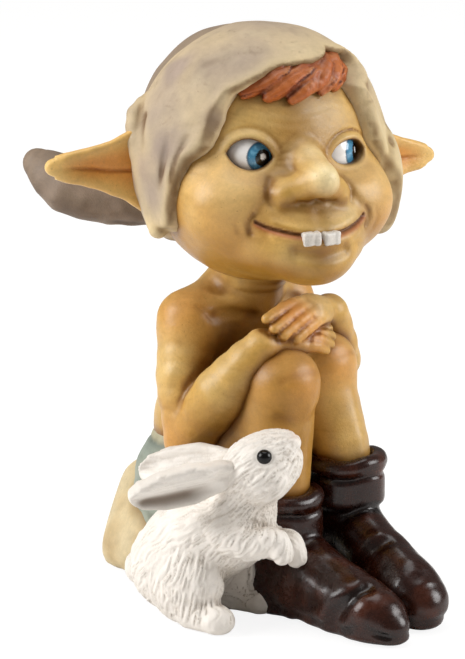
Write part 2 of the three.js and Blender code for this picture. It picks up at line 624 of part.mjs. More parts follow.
// One arm and hand. The hand lies from the wrist towards a point, and its fingers bend down past it.
function arm(side, wrist, knuckles, fingerWay) {
  const [shoulder, elbow] = [shoulderAt(side), elbowAt(side)];
  const upper = limb([shoulder, between(shoulder, elbow, 0.4).add(v3(side * 1.4, 0.6, 0)), elbow],
    round(ARM_WIDTH, ARM_WIDTH * 1.04, ARM_WIDTH * 0.9), { sides: 10, steps: 4, up: v3(0, -1, 0), dome: 1 });
  const lower = limb([elbow, between(elbow, wrist, 0.45).add(v3(side * 0.8, -1, 0)), wrist],
    round(ARM_WIDTH * 0.9, FOREARM_WIDTH, WRIST_WIDTH), { sides: 10, steps: 4, up: v3(0, -1, 0) });
  const palm = limb([wrist, knuckles],
    [[WRIST_WIDTH / 2, HAND_THICKNESS * 0.6], [HAND_WIDTH / 2, HAND_THICKNESS / 2]], { sides: 8, steps: 2 });
  const heading = knuckles.clone().sub(wrist).normalize();
  const across = new THREE.Vector3().crossVectors(UP, heading).normalize();
  const pitch = HAND_WIDTH / FINGERS;
  const fingers = Array.from({ length: FINGERS }, (_, i) => {
    const start = knuckles.clone().addScaledVector(across, (i - (FINGERS - 1) / 2) * pitch);
    const bend = start.clone().addScaledVector(heading, FINGER_LENGTH * 0.5).add(v3(0, 0, 0.2));
    const tip = bend.clone().addScaledVector(fingerWay, FINGER_LENGTH * 0.5);
    const widths = round(FINGER_WIDTH, FINGER_WIDTH, FINGER_WIDTH * 0.8);
    return limb([start, bend, tip], widths, { sides: 6, steps: 3 });
  });
  return joined([upper, lower, palm, ...fingers]);
}

const handReach = (KNEE_REACH.right + KNEE_REACH.left) / 2;
const rightWrist = v3(-KNEE_SPREAD * 0.72, -handReach, handHeight + WRIST_WIDTH * 0.2);
const rightKnuckles = v3(-2.8, -handReach - 1.8, handHeight + HAND_THICKNESS * 0.3);
const leftWrist = v3(KNEE_SPREAD * 0.66, -handReach + 2, handHeight + WRIST_WIDTH * 0.6);
const leftKnuckles = v3(1.8, -handReach - 0.6, handHeight + HAND_THICKNESS * 1.35);

// Rabbit, in a frame on the table that faces -Y

const rabbitGroup = new THREE.Group();
rabbitGroup.position.set(RABBIT_SIDE, -RABBIT_REACH, 0);
rabbitGroup.rotation.z = degrees(RABBIT_TURN);
pixie.add(rabbitGroup);

const rump = v3(0, RABBIT_LENGTH * 0.3, RABBIT_WIDTH * 0.42);
const breast = v3(0, -RABBIT_LENGTH * 0.36, RABBIT_BACK_HEIGHT * 0.76);
const nape = v3(0, -RABBIT_LENGTH * 0.46, RABBIT_BACK_HEIGHT);

function rabbitBody() {
  const trunk = limb([rump, between(rump, breast, 0.5).add(v3(0, 1, 1.5)), breast, nape],
    round(RABBIT_WIDTH, RABBIT_WIDTH * 0.95, RABBIT_WIDTH * 0.72, RABBIT_WIDTH * 0.5),
    { sides: 12, steps: 6, up: v3(1, 0, 0), dome: 0.9 });
  const thighs = SIDES.map(([, side]) => clay(v3(side * RABBIT_STANCE * 0.38, 0.8, RABBIT_HAUNCH * 0.45),
    v3(RABBIT_WIDTH * 0.28, RABBIT_HAUNCH / 2, RABBIT_HAUNCH / 2), [], [12, 8]));
  const feet = SIDES.map(([, side]) => limb(
    [v3((side * RABBIT_STANCE) / 2, 0, 1.8), v3((side * RABBIT_STANCE) / 2, -RABBIT_FOOT_LENGTH * 0.7, 2)],
    [[RABBIT_FOOT_WIDTH * 0.45, 2.2], [RABBIT_FOOT_WIDTH / 2, 2.8]], { sides: 8, steps: 2 },
  ));
  return onTable(joined([trunk, ...thighs, ...feet]));
}

function rabbitForeleg(side, drop) {
  const start = breast.clone().add(v3(side * RABBIT_WIDTH * 0.26, 1, 0.5));
  const paw = breast.clone().add(v3(side * RABBIT_WIDTH * 0.2, -RABBIT_LENGTH * 0.55 + drop, -drop));
  return limb([start, between(start, paw, 0.55).add(v3(side * 0.6, 0, -0.6)), paw],
    round(RABBIT_PAW_WIDTH * 1.5, RABBIT_PAW_WIDTH * 1.2, RABBIT_PAW_WIDTH), { sides: 8, steps: 3 });
}

const rabbitHeadGroup = new THREE.Group();
rabbitHeadGroup.position.copy(nape).add(v3(0, -2.2, RABBIT_HEAD_LENGTH * 0.34));
rabbitHeadGroup.rotation.set(degrees(-RABBIT_HEAD_LIFT), 0, degrees(RABBIT_HEAD_TURN), 'ZYX');
rabbitGroup.add(rabbitHeadGroup);

const rabbitHeadHalf = v3(RABBIT_HEAD_WIDTH / 2, RABBIT_HEAD_LENGTH / 2, RABBIT_HEAD_LENGTH * 0.41);

function rabbitHead() {
  const { x, y, z } = rabbitHeadHalf;
  return clay(v3(0, 0, 0), rabbitHeadHalf, [
    ...bothSides(v3(x * 0.6, -y * 0.9, 0), v3(-1.6, 0, 0), 5), // narrow muzzle
    ...bothSides(v3(x * 0.8, 0, -z * 0.6), v3(0.8, 0, -0.6), 6), // cheeks
    { at: v3(0, -y * 0.6, z), by: v3(0, 0, -1.2), reach: 6 }, // flat brow
    { at: v3(0, -y, 0), by: v3(0, -1, 0), reach: 5 }, // nose
  ], [16, 10]);
}

function rabbitEye(side) {
  const { x, y, z } = rabbitHeadHalf;
  const half = RABBIT_EYE_WIDTH / 2;
  return clay(v3(side * x * 0.86, -y * 0.28, z * 0.4), v3(half * 0.9, half, half), [], [8, 6]);
}

function rabbitEar(side) {
  const { x, y, z } = rabbitHeadHalf;
  const root = v3(side * x * 0.55, y * 0.55, z * 0.45);
  const tip = root.clone().add(v3(side * 0.26, 0.88, 0.38).setLength(RABBIT_EAR_LENGTH));
  const sections = [[0.36, 0.5], [0.5, 0.5], [0.42, 0.45], [0.16, 0.3]]
    .map(([wide, thick]) => [RABBIT_EAR_WIDTH * wide, RABBIT_EAR_THICKNESS * thick]);
  const hollow = [[0.12, 0.3], [0.32, 0.35], [0.26, 0.3], [0.05, 0.1]]
    .map(([wide, thick]) => [RABBIT_EAR_WIDTH * wide, RABBIT_EAR_THICKNESS * thick]);
  const outward = v3(side * 0.2, 0.3, -0.93);
  const way = (from, to) => [0, 0.35, 0.7, 1]
    .map((share) => between(root, tip, THREE.MathUtils.lerp(from, to, share)));
  const scoopWay = way(0.25, 0.9).map((p) => p.addScaledVector(outward, RABBIT_EAR_THICKNESS * 0.5));
  return limb(way(0, 1), sections, { sides: 10, steps: 4, up: outward })
    .subtract(limb(scoopWay, hollow, { sides: 6, steps: 3, up: outward }));
}

function rabbitTail() {
  return clay(v3(0, RABBIT_LENGTH * 0.3 + RABBIT_WIDTH * 0.42, RABBIT_WIDTH * 0.4),
    v3(RABBIT_TAIL_WIDTH / 2, RABBIT_TAIL_WIDTH * 0.42, RABBIT_TAIL_WIDTH / 2), [], [10, 6]);
}

// Assembly, from the inside out

place(pixie, 'neck_dowel', STEEL, neckDowel());
place(pixie, 'torso', SKIN, torso());
place(headGroup, 'tail_dowel', STEEL, tailDowel());
for (const [name, side] of SIDES) {
  place(headGroup, `${name}_eye`, EYE_WHITE, eye(side));
  place(headGroup, `${name}_tooth`, TOOTH_WHITE, tooth(side));
  place(headGroup, `${name}_ear`, EAR_SKIN, ear(side));
}
place(headGroup, 'head', SKIN, head());
place(headGroup, 'hair_tuft', HAIR_RED, hairTuft());
place(headGroup, 'cap', CAP_CREAM, cap());
place(headGroup, 'cap_tail', CAP_GREY, capTail());
for (const [name, side] of SIDES) place(pixie, `${name}_leg`, SKIN, leg(side));
place(pixie, 'shorts', SHORTS_SAGE, shorts());
place(pixie, 'seat_stone', STONE_CREAM, seatStone());
for (const [name, side] of SIDES) {
  place(pixie, `${name}_boot`, BOOT_BROWN, boot(side));
}
place(pixie, 'right_arm', SKIN, arm(-1, rightWrist, rightKnuckles, v3(0.7, -0.35, -0.62).normalize()));
place(pixie, 'left_arm', SKIN, arm(1, leftWrist, leftKnuckles, v3(-0.75, 0.1, -0.6).normalize()));
place(rabbitGroup, 'rabbit_body', FUR_WHITE, rabbitBody());
place(rabbitGroup, 'rabbit_right_foreleg', FUR_WHITE, rabbitForeleg(-1, 1));
place(rabbitGroup, 'rabbit_left_foreleg', FUR_WHITE, rabbitForeleg(1, 4));
for (const [name, side] of SIDES) {
  place(rabbitHeadGroup, `rabbit_${name}_eye`, EYE_BLACK, rabbitEye(side));
  place(rabbitHeadGroup, `rabbit_${name}_ear`, FUR_WHITE, rabbitEar(side));
}
place(rabbitHeadGroup, 'rabbit_head', FUR_WHITE, rabbitHead());
place(rabbitGroup, 'rabbit_tail', FUR_WHITE, rabbitTail());

export default pixie;
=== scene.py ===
"""Painted cast-resin pixie that hugs its knees, with a rabbit at its side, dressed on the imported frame.

Shapes are sculpted in millimetres as distance fields, meshed on a fine grid and painted point by point.
"""
import math
from concurrent.futures import ThreadPoolExecutor
from functools import partial

import bpy
import numpy as np
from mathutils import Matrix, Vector


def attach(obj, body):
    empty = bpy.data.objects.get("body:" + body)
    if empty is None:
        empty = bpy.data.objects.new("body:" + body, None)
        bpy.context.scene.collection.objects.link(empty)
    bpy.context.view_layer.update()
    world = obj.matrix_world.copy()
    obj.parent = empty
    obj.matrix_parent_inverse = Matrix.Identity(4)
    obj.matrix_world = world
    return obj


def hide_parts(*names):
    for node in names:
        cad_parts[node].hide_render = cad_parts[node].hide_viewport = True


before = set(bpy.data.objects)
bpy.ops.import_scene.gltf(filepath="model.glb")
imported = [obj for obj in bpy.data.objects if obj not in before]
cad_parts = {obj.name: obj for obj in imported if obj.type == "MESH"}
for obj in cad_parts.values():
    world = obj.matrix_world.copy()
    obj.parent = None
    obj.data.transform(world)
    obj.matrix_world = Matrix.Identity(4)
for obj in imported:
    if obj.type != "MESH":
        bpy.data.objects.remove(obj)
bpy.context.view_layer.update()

MM = 0.001
BLOCK = 8  # grid nodes along one side of a sculpting block
BLOCKS_AT_ONCE = 2000
BATCH = 40000  # points that one thread works out at a time
HOLLOW_REACHES = (0.45, 1.5, 4)  # mm out of the surface, to find fine, deep and wide hollows
EDGE_REACH = 0.5  # mm into the surface, to find proud edges
SLOPE_REACH = 0.06  # mm to each side, to find a field's slope
SIDES = (("right", -1), ("left", 1))
CORNERS = [(i, j, k) for i in (0, 1) for j in (0, 1) for k in (0, 1)]  # of a grid cell
AXIS_HASH = (73856093, 19349663, 83492791)
SEED_HASH = 2654435761
MIX_HASH = 1274126177
workers = ThreadPoolExecutor(4)


# Vectors and turns

def vec(*values):
    return np.array(values, np.float32)


def unit(v):
    v = np.array(v, np.float32)
    return v / np.linalg.norm(v)


def turned(x=0, y=0, z=0):
    """Turn about X, then Y, then Z, in degrees."""
    (cx, cy, cz), (sx, sy, sz) = [[f(math.radians(a)) for a in (x, y, z)] for f in (math.cos, math.sin)]
    about_x = np.array([[1, 0, 0], [0, cx, -sx], [0, sx, cx]])
    about_y = np.array([[cy, 0, sy], [0, 1, 0], [-sy, 0, cy]])
    about_z = np.array([[cz, -sz, 0], [sz, cz, 0], [0, 0, 1]])
    return (about_z @ about_y @ about_x).astype(np.float32)


def size(v):
    return np.sqrt(np.einsum("ij,ij->i", v, v))


def mirrored(q):
    m = q.copy()
    m[:, 0] = np.abs(m[:, 0])
    return m


def smooth(low, high, x):
    t = np.clip((x - low) / (high - low), 0, 1)
    return t * t * (3 - 2 * t)


def bell(x, width):
    return np.exp(-(x / width) ** 2)


def curve(points, count):
    """A smooth line through the points, as count points."""
    points = np.array(points, float)
    padded = np.vstack([2 * points[0] - points[1], points, 2 * points[-1] - points[-2]])
    made = []
    for t in np.linspace(0, len(points) - 1, count):
        i = min(int(t), len(points) - 2)
        a, b, c, d = padded[i:i + 4]
        u = t - i
        made.append(0.5 * (2 * b + (c - a) * u + (2 * a - 5 * b + 4 * c - d) * u ** 2
                           + (3 * b - a - 3 * c + d) * u ** 3))
    return np.array(made, np.float32)


# Distance fields

def ball(p, centre, radius):
    return size(p - centre) - radius


def ovoid(q, half):
    k = size(q / half)
    return k * (k - 1) / np.maximum(size(q / half ** 2), 1e-4)


def egg(p, centre, half):
    return ovoid(p - vec(*centre), vec(*half))


def rod(p, a, b, ra, rb):
    a, b = vec(*a), vec(*b)
    way = b - a
    t = np.clip((p - a) @ way / max(float(way @ way), 1e-9), 0, 1)
    return size(p - a - t[:, None] * way) - (ra + (rb - ra) * t)


def blend(a, b, k):
    h = np.clip(0.5 + 0.5 * (b - a) / k, 0, 1)
    return b + (a - b) * h - k * h * (1 - h)


def cut(a, b, k):
    return -blend(-a, b, k)


def both(a, b, k):
    return -blend(-a, -b, k)


def tube(p, points, radii, count, k=0.3):
    """A round tube along a smooth line, with its radii spread evenly along it."""
    line = curve(points, count)
    wide = np.interp(np.linspace(0, 1, count), np.linspace(0, 1, len(radii)), radii)
    d = rod(p, line[0], line[1], wide[0], wide[1])
    for i in range(1, count - 1):
        d = blend(d, rod(p, line[i], line[i + 1], wide[i], wide[i + 1]), k)
    return d


def from_line(p, line):
    d = np.full(len(p), 1e9, np.float32)
    for a, b in zip(line[:-1], line[1:]):
        d = np.minimum(d, rod(p, a, b, 0, 0))
    return d


def groove(p, points, width, depth):
    """How much a carved line takes off, or adds where depth is negative."""
    line = curve(points, 3 * len(points)) if len(points) > 2 else np.array(points, np.float32)
    out = np.zeros(len(p), np.float32)
    near = np.all((p > line.min(0) - 3 * width) & (p < line.max(0) + 3 * width), 1)
    if near.any():
        out[near] = depth * bell(from_line(p[near], line), width)
    return out


def carved(d, p, lines):
    """The field with lines carved in it: each has its points, width and depth."""
    for line in lines:
        d = d + groove(p, *line)
    return d


def decal(q, points, width, depth, behind=-4):
    """A line drawn on the face from the front, as (x, z): how much it takes off."""
    line = np.column_stack([points, np.zeros(len(points))])
    line = curve(line, 4 * len(line)) if len(line) > 2 else line.astype(np.float32)
    at = np.stack([q[:, 0], q[:, 2], np.zeros(len(q), np.float32)], 1)
    return depth * bell(from_line(at, line), width) * (q[:, 1] < behind)


def noise(p, seed):
    """Smooth lattice noise from -1 to 1."""
    cell = np.floor(p).astype(np.int64)
    f = (p - cell).astype(np.float32)
    f = f * f * (3 - 2 * f)
    total = np.zeros(len(p), np.float32)
    for corner in CORNERS:
        h, share = seed * SEED_HASH, 1
        for axis, far in enumerate(corner):
            h = h ^ (cell[:, axis] + far) * AXIS_HASH[axis]
            share = share * (f[:, axis] if far else 1 - f[:, axis])
        h = ((h ^ (h >> 13)) * MIX_HASH) & 0xFFFFFFFF
        h = (h ^ (h >> 16)) & 0xFFFF
        total += share * (h / 32767.5 - 1).astype(np.float32)
    return total


def stretched(p, x, y, z, seed):
    """Noise whose grains have these lengths along the axes."""
    return noise(np.stack([p[:, 0] / x, p[:, 1] / y, p[:, 2] / z], 1), seed)


def lumps(p, width, seed):
    return noise(p / width, seed) + 0.5 * noise(p / (0.47 * width) + 7.1, seed + 1)


def strokes(p, origin, axis, seed, across=0.34, along=2.6, reach=8):
    """Carved strokes that run along an axis, round it: 1 in a stroke and 0 between them."""
    axis = unit(axis)
    side = unit(np.cross(axis, (0, 0, 1) if abs(axis[2]) < 0.9 else (1, 0, 0)))
    rel = p - vec(*origin)
    s, u, v = rel @ axis, rel @ side, rel @ np.cross(axis, side)
    angle = np.arctan2(u, v) * reach
    bend = 0.5 * noise(p / 2.6, seed + 5)
    grid = np.stack([(angle + bend) / across, s / along, np.hypot(u, v) / 4], 1)
    return bell(noise(grid, seed), 0.32)


# Meshing

def worked_out(field, p):
    """The field's values, in batches that run side by side."""
    return np.concatenate(list(workers.map(field, np.array_split(p, len(p) // BATCH + 1))))


def surface(field, low, high, step):
    """Points, in mm, and quads of the field's zero surface."""
    low = np.array(low, float)
    span = BLOCK * step
    count = np.ceil((np.array(high, float) - low) / span).astype(int)
    cells = np.stack(np.meshgrid(*[np.arange(n) for n in count], indexing="ij"), -1).reshape(-1, 3)
    coarse = worked_out(field, (low + (cells + 0.5) * span - step / 2).astype(np.float32))
    grid = np.where(coarse > 0, 9, -9).astype(np.float32).reshape(count)
    for axis in range(3):
        grid = grid.repeat(BLOCK, axis)
    inner = np.stack(np.meshgrid(*[np.arange(BLOCK)] * 3, indexing="ij"), -1).reshape(-1, 3)
    active = cells[np.abs(coarse) < 1.4 * span + 1]
    for start in range(0, len(active), BLOCKS_AT_ONCE):
        at = (active[start:start + BLOCKS_AT_ONCE, None] * BLOCK + inner).reshape(-1, 3)
        grid[tuple(at.T)] = worked_out(field, (low + at * step).astype(np.float32))
    inside = grid < 0
    n = np.array(grid.shape) - 1
    held = sum(inside[i:i + n[0], j:j + n[1], k:k + n[2]].astype(np.int8) for i, j, k in CORNERS)
    mixed = (held > 0) & (held < 8)
    at = np.argwhere(mixed)
    number = np.full(mixed.shape, -1, np.int64)
    number[mixed] = np.arange(len(at))
    value = [grid[tuple((at + c).T)] for c in CORNERS]
    total, hits = np.zeros((len(at), 3)), np.zeros(len(at))
    for i, a in enumerate(CORNERS):
        for j, b in enumerate(CORNERS):
            if j > i and sum(abs(x - y) for x, y in zip(a, b)) == 1:
                cross = (value[i] < 0) != (value[j] < 0)
                t = value[i][cross] / (value[i][cross] - value[j][cross])
                total[cross] += np.array(a) + t[:, None] * (np.array(b) - np.array(a))
                hits[cross] += 1
    points = low + (at + total / hits[:, None]) * step
    quads = []
    for axis in range(3):
        u, v = (axis + 1) % 3, (axis + 2) % 3
        first, second = [slice(1, -1)] * 3, [slice(1, -1)] * 3
        first[axis], second[axis] = slice(0, -1), slice(1, None)
        a, b = inside[tuple(first)], inside[tuple(second)]
        shift = np.ones(3, int)
        shift[axis] = 0
        for crossing, order in ((a & ~b, 1), (b & ~a, -1)):
            node = np.argwhere(crossing) + shift
            ring = []
            for du, dv in ((-1, -1), (0, -1), (0, 0), (-1, 0))[::order]:
                c = node.copy()
                c[:, u] += du
                c[:, v] += dv
                ring.append(number[tuple(c.T)])
            quads.append(np.stack(ring, 1))
    return points, np.vstack(quads)


def slope(field, p):
    steps = np.eye(3, dtype=np.float32) * SLOPE_REACH
    rise = [worked_out(field, p + s) - worked_out(field, p - s) for s in steps]
    return np.stack(rise, 1) / (2 * SLOPE_REACH)


class Skin:
    """A meshed surface: points and normals in mm, and how hollow or proud it is at each point."""

    def __init__(self, field, low, high, step, neighbours):
        points, self.quads = surface(field, low, high, step)
        p = points.astype(np.float32)
        way = slope(field, p)
        steep = np.maximum(size(way), 0.3)
        p = p - (np.clip(worked_out(field, p), -step, step) / steep)[:, None] * way / steep[:, None]
        way = slope(field, p)
        self.p, self.n = p, way / np.maximum(size(way), 1e-6)[:, None]
        self.fine, self.deep, self.wide = [
            np.clip(1 - worked_out(field, p + self.n * d) / d, 0, 1) for d in HOLLOW_REACHES]
        self.edge = np.clip(1 + worked_out(field, p - self.n * EDGE_REACH) / EDGE_REACH, 0, 1)
        near = np.full(len(p), 9, np.float32)
        for other in neighbours:
            near = np.minimum(near, np.maximum(worked_out(other, p), 0))
        # The wash: the paint's brown wash together with painted shade, darker in the hollows and next to the
        # neighbouring pieces
        hollow = 1.6 * self.fine + 1.4 * self.deep + 0.8 * self.wide - 0.16
        self.wash_and_shade = np.maximum(np.clip(hollow, 0, 1), 1.1 * np.exp(-near / 1.1))


def tint(code):
    """A colour written as it is seen, as scene light."""
    srgb = np.array([int(code[i:i + 2], 16) for i in (1, 3, 5)]) / 255
    return np.where(srgb <= 0.04045, srgb / 12.92, ((srgb + 0.055) / 1.055) ** 2.4).astype(np.float32)


def flat(code, points):
    return np.tile(tint(code), (len(points), 1))


def over(colour, *coats):
    """Coats of paint over a colour: each is a colour code and its share at each point."""
    for code, share in coats:
        share = np.clip(np.full(len(colour), share), 0, 1)[:, None]
        colour = colour * (1 - share) + tint(code) * share
    return colour


def dab(p, centre, reach):
    """A soft round dab of paint."""
    return bell(size(p - vec(*centre)), reach)


# Materials

def fill(tree, node, inputs):
    """Sets a node's inputs, by name or place: a socket is linked, and anything else is a value."""
    for key, value in inputs.items():
        if isinstance(value, bpy.types.NodeSocket):
            tree.links.new(value, node.inputs[key])
        else:
            node.inputs[key].default_value = value


def add(tree, kind, inputs=None, **settings):
    """Adds a node to a tree, sets it and gives its outputs."""
    made = tree.nodes.new("ShaderNode" + kind)
    for key, value in settings.items():
        setattr(made, key, value)
    fill(tree, made, inputs or {})
    return made.outputs


def new_material(name):
    """A material, what adds a node to it, and what sets its shader."""
    material = bpy.data.materials.new(name)
    material.use_nodes = True
    tree = material.node_tree
    return material, partial(add, tree), partial(fill, tree, tree.nodes["Principled BSDF"])


def painted(name, rough, mottle, wash_and_shade, grain_mm=0.5, bump=0.5, coat=0, speck=0, sheen=0.5):
    """Painted resin: brushed colour from the points, the paint's wash with painted shade in the hollows, and
    a fine grain.
    """
    material, node, shade = new_material(name)
    place = node("Mapping", {"Vector": node("TexCoord")["Object"], "Scale": [1 / MM] * 3})["Vector"]

    def mix(mode, share, first, second):
        return node("MixRGB", {0: share, 1: first, 2: second}, blend_type=mode)["Color"]

    def cloud(per_mm, detail, rough_share, warp):
        return node("TexNoise", {"Vector": place, "Scale": per_mm, "Detail": detail,
                                 "Roughness": rough_share, "Distortion": warp})["Fac"]

    def between(value, low, high, to_low, to_high):
        return node("MapRange", {"Value": value, "From Min": low, "From Max": high,
                                 "To Min": to_low, "To Max": to_high})["Result"]

    paint = node("Attribute", attribute_name="paint")["Color"]
    hollow = node("Attribute", attribute_name="wash_and_shade")["Fac"]
    patches = cloud(0.22, 5, 0.62, 0.6)
    brushed = cloud(0.9 / grain_mm, 5, 0.65, 0.3)
    colour = mix("MULTIPLY", 1, paint, between(patches, 0.3, 0.7, 1 - mottle, 1 + 0.5 * mottle))
    colour = mix("MULTIPLY", 1, colour, between(brushed, 0.3, 0.7, 1 - 0.6 * mottle, 1 + 0.4 * mottle))
    # Where the wash and the painted shade darken the paint, broken up by the patches
    wash_shade_share = node("Math", {0: hollow, 1: between(patches, 0.25, 0.75, 0.55, 1)}, operation="MULTIPLY")[0]
    wash_shade_colour = [*tint(wash_and_shade), 1]
    colour = mix("MULTIPLY", wash_shade_share, colour, mix("MIX", 0.35, colour, wash_shade_colour))
    colour = mix("MIX", between(wash_shade_share, 0.25, 1, 0, 0.62), colour, wash_shade_colour)
    if speck:
        colour = mix("MIX", between(cloud(2.3, 2, 0.5, 0), 0.69, 0.74, 0, speck), colour, wash_shade_colour)
    grain = cloud(1.6 / grain_mm, 4, 0.6, 0.2)
    shade({"Base Color": colour, "Roughness": between(brushed, 0.3, 0.7, rough - 0.08, rough + 0.1),
           "Specular IOR Level": sheen, "Coat Weight": coat, "Coat Roughness": 0.18,
           "Normal": node("Bump", {"Strength": bump, "Distance": 0.12 * MM, "Height": grain})["Normal"]})
    return material


SKIN = painted("skin_paint", 0.36, 0.14, "#653f04", speck=0.3, sheen=0.4)
CLOTH = painted("hood_paint", 0.6, 0.1, "#6b4f34", grain_mm=0.6, bump=0.45, speck=0.2, sheen=0.35)
BAG = painted("bag_paint", 0.62, 0.16, "#4c3a2c", bump=0.7)
HAIR = painted("hair_paint", 0.38, 0.2, "#5a1c06", grain_mm=0.4, sheen=0.35)
BOOT = painted("boot_paint", 0.27, 0.3, "#0c0302", grain_mm=0.7, bump=0.25, coat=0.2, sheen=0.35)
FUR = painted("fur_paint", 0.5, 0.06, "#8d7d6c", grain_mm=0.35)
SHORTS = painted("shorts_paint", 0.6, 0.14, "#4c4c3e", grain_mm=0.4)
STONE = painted("stone_paint", 0.55, 0.14, "#7d6238", grain_mm=0.6, speck=0.3)
GLOSS = painted("eye_paint", 0.12, 0.05, "#4a3a30", grain_mm=0.3, bump=0.05, coat=0.6)
BEAD = painted("bead_paint", 0.22, 0.05, "#060404", grain_mm=0.3, bump=0.05, sheen=0.3)
TOOTH = painted("tooth_paint", 0.28, 0.08, "#5a4030", grain_mm=0.3, bump=0.4)


def mesh_of(name, points, quads, colour, wash_and_shade, material, nodes):
    mesh = bpy.data.meshes.new(name)
    mesh.vertices.add(len(points))
    mesh.vertices.foreach_set("co", (np.asarray(points, np.float64) * MM).astype(np.float32).ravel())
    mesh.loops.add(quads.size)
    mesh.loops.foreach_set("vertex_index", quads.astype(np.int32).ravel())
    mesh.polygons.add(len(quads))
    mesh.polygons.foreach_set("loop_start", np.arange(0, quads.size, quads.shape[1], dtype=np.int32))
    mesh.polygons.foreach_set("use_smooth", np.full(len(quads), True))
    mesh.update(calc_edges=True)
    mesh.validate()
    rgba = np.ones((len(points), 4), np.float32)
    rgba[:, :3] = np.clip(colour, 0, 1)
    mesh.attributes.new("paint", "FLOAT_COLOR", "POINT").data.foreach_set("color", rgba.ravel())
    mesh.attributes.new("wash_and_shade", "FLOAT", "POINT").data.foreach_set("value", np.asarray(wash_and_shade, np.float32))
    mesh.materials.append(material)
    made = bpy.data.objects.new(name, mesh)
    bpy.context.scene.collection.objects.link(made)
    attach(made, "root")
    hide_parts(*nodes)


def sculpted(name, field, box, step, paint, material, nodes, neighbours=()):
    skin = Skin(field, *box, step, neighbours)
    colour = paint(skin)  # may change the skin's wash and painted shade
    mesh_of(name, skin.p, skin.quads, colour, skin.wash_and_shade, material, nodes)


def around(points, room):
    points = np.array(points, float)
    return points.min(0) - room, points.max(0) + room


# The head, in its own frame: +X to the pixie's left, -Y out of the face, +Z to the crown

HEAD_CENTRE = vec(0, -6.13, 76.9)
HEAD_TURN = turned(y=4) @ turned(z=-17)
SKULL = vec(20.5, 17, 21)  # half sizes, with the face's half depth
SKULL_BACK = 20
JAW = (0, -8, -7.2)
JAW_HALF = (18.2, 13.6, 11.6)
EYE = vec(7.6, -9.9, 3)
EYE_RADIUS = 4.75
EYE_OUT = unit((0.36, -0.93, 0.06))
EYE_SIDE = unit(np.cross((0, 0, 1), EYE_OUT))
LID_HALF, LID_TOP, LID_LOW = 4, 2.8, 2.4  # half width of the eye's opening, its height above and below
SMILE = [(-10.3, -6.9), (-8.4, -7.7), (-4.5, -8.4), (0, -8.5), (4.5, -8.1), (8.4, -7.2), (10.3, -6.3)]
FACE_FORMS = [  # jaw, cheeks, lips and chin: middle, half sizes and how widely they blend in
    (JAW, JAW_HALF, 5),
    ((11.2, -11.6, -5), (7.8, 7.8, 6.9), 3.5),
    ((0, -15.8, -8.4), (9.4, 8, 5.4), 3.5),
    ((0, -17.4, -11.8), (10, 8.4, 5.4), 5),
]
CROW_LINES = [([(5.2, 2.6 + 0.6 * rise), (3.4, 2.9 + 1.1 * rise), (1.8, 3.3 + 1.5 * rise)], 0.26, 0.035)
              for rise in (-0.9, 0.3, 1.4, 2.6)]
MOUTH_LINES = [  # the mouth with its lips and corners, as seen from the front
    (SMILE, 0.27, 0.5),
    ([(x * 0.94, z - 1.25) for x, z in SMILE[1:-1]], 0.75, -0.28),
    ([(x * 0.94, z + 1.1) for x, z in SMILE[1:-1]], 0.7, -0.2),
    ([(-4.4, -11.5), (0, -12), (4.4, -11.3)], 1.2, 0.8),
    ([(-10.6, -5.6), (-11.4, -7), (-11, -8.8)], 0.5, 0.32),
    ([(10.7, -4.9), (11.4, -6.3), (10.6, -8.2)], 0.5, 0.32),
]
CHEEK_LINES = [
    ([(12.9, -5.4), (13.4, -7.2), (12.8, -8.8)], 0.5, 0.1),
    ([(6.8, -0.2), (7.9, -1.9), (7.6, -4)], 0.6, 0.24),
    ([(8.4, -3.2), (9.6, -4.7), (10.5, -6)], 0.9, 0.26),
]
BROW_LINES = [  # and the groove under the nose
    ([(0, -5.2), (0, -7.2)], 1.1, 0.2),
    ([(-6, 9.4), (-1.5, 8.8), (5, 9.6)], 0.5, 0.08),
    ([(-7, 11), (-1, 10.4), (5, 11.2)], 0.5, 0.06),
]


def to_head(p):
    return (p - HEAD_CENTRE) @ HEAD_TURN


def from_head(q):
    return np.asarray(q, np.float32) @ HEAD_TURN.T + HEAD_CENTRE


def skull(q, swell=0):
    half = np.empty_like(q)
    half[:] = SKULL + swell
    half[q[:, 1] > 0, 1] = SKULL_BACK + swell
    return ovoid(q, half)


def almond(q):
    """Distance from the eye's opening, in the plane that faces out of the eye, and height in it."""
    rel = mirrored(q) - EYE
    u, v = -(rel @ EYE_SIDE), rel @ np.cross(EYE_OUT, EYE_SIDE)
    v = (v - 0.25 + 0.05 * u) / np.where(q[:, 0] > 0, 0.8, 1)  # the left eye is closed a little
    big_top, big_low = [(LID_HALF ** 2 + h ** 2) / (2 * h) for h in (LID_TOP, LID_LOW)]
    above = np.hypot(u, v - (LID_TOP - big_top)) - big_top
    return np.maximum(above, np.hypot(u, v + (LID_LOW - big_low)) - big_low), v


def nose(q):
    """A broad upturned wedge with round wings."""
    m = mirrored(q)
    d = rod(q, (0, -14.6, 3.3), (0, -24.9, 1.3), 3.5, 2.25)
    d = blend(d, rod(m, (0.4, -23.6, 0.1), (4.6, -19.4, -2), 2.3, 2.5), 2.2)
    d = blend(d, egg(m, (5.1, -19.4, -2.4), (2.2, 2.9, 2.1)), 0.8)
    return cut(d, egg(m, (2.7, -22.2, -4.2), (1.3, 1.6, 1.2)), 0.6)


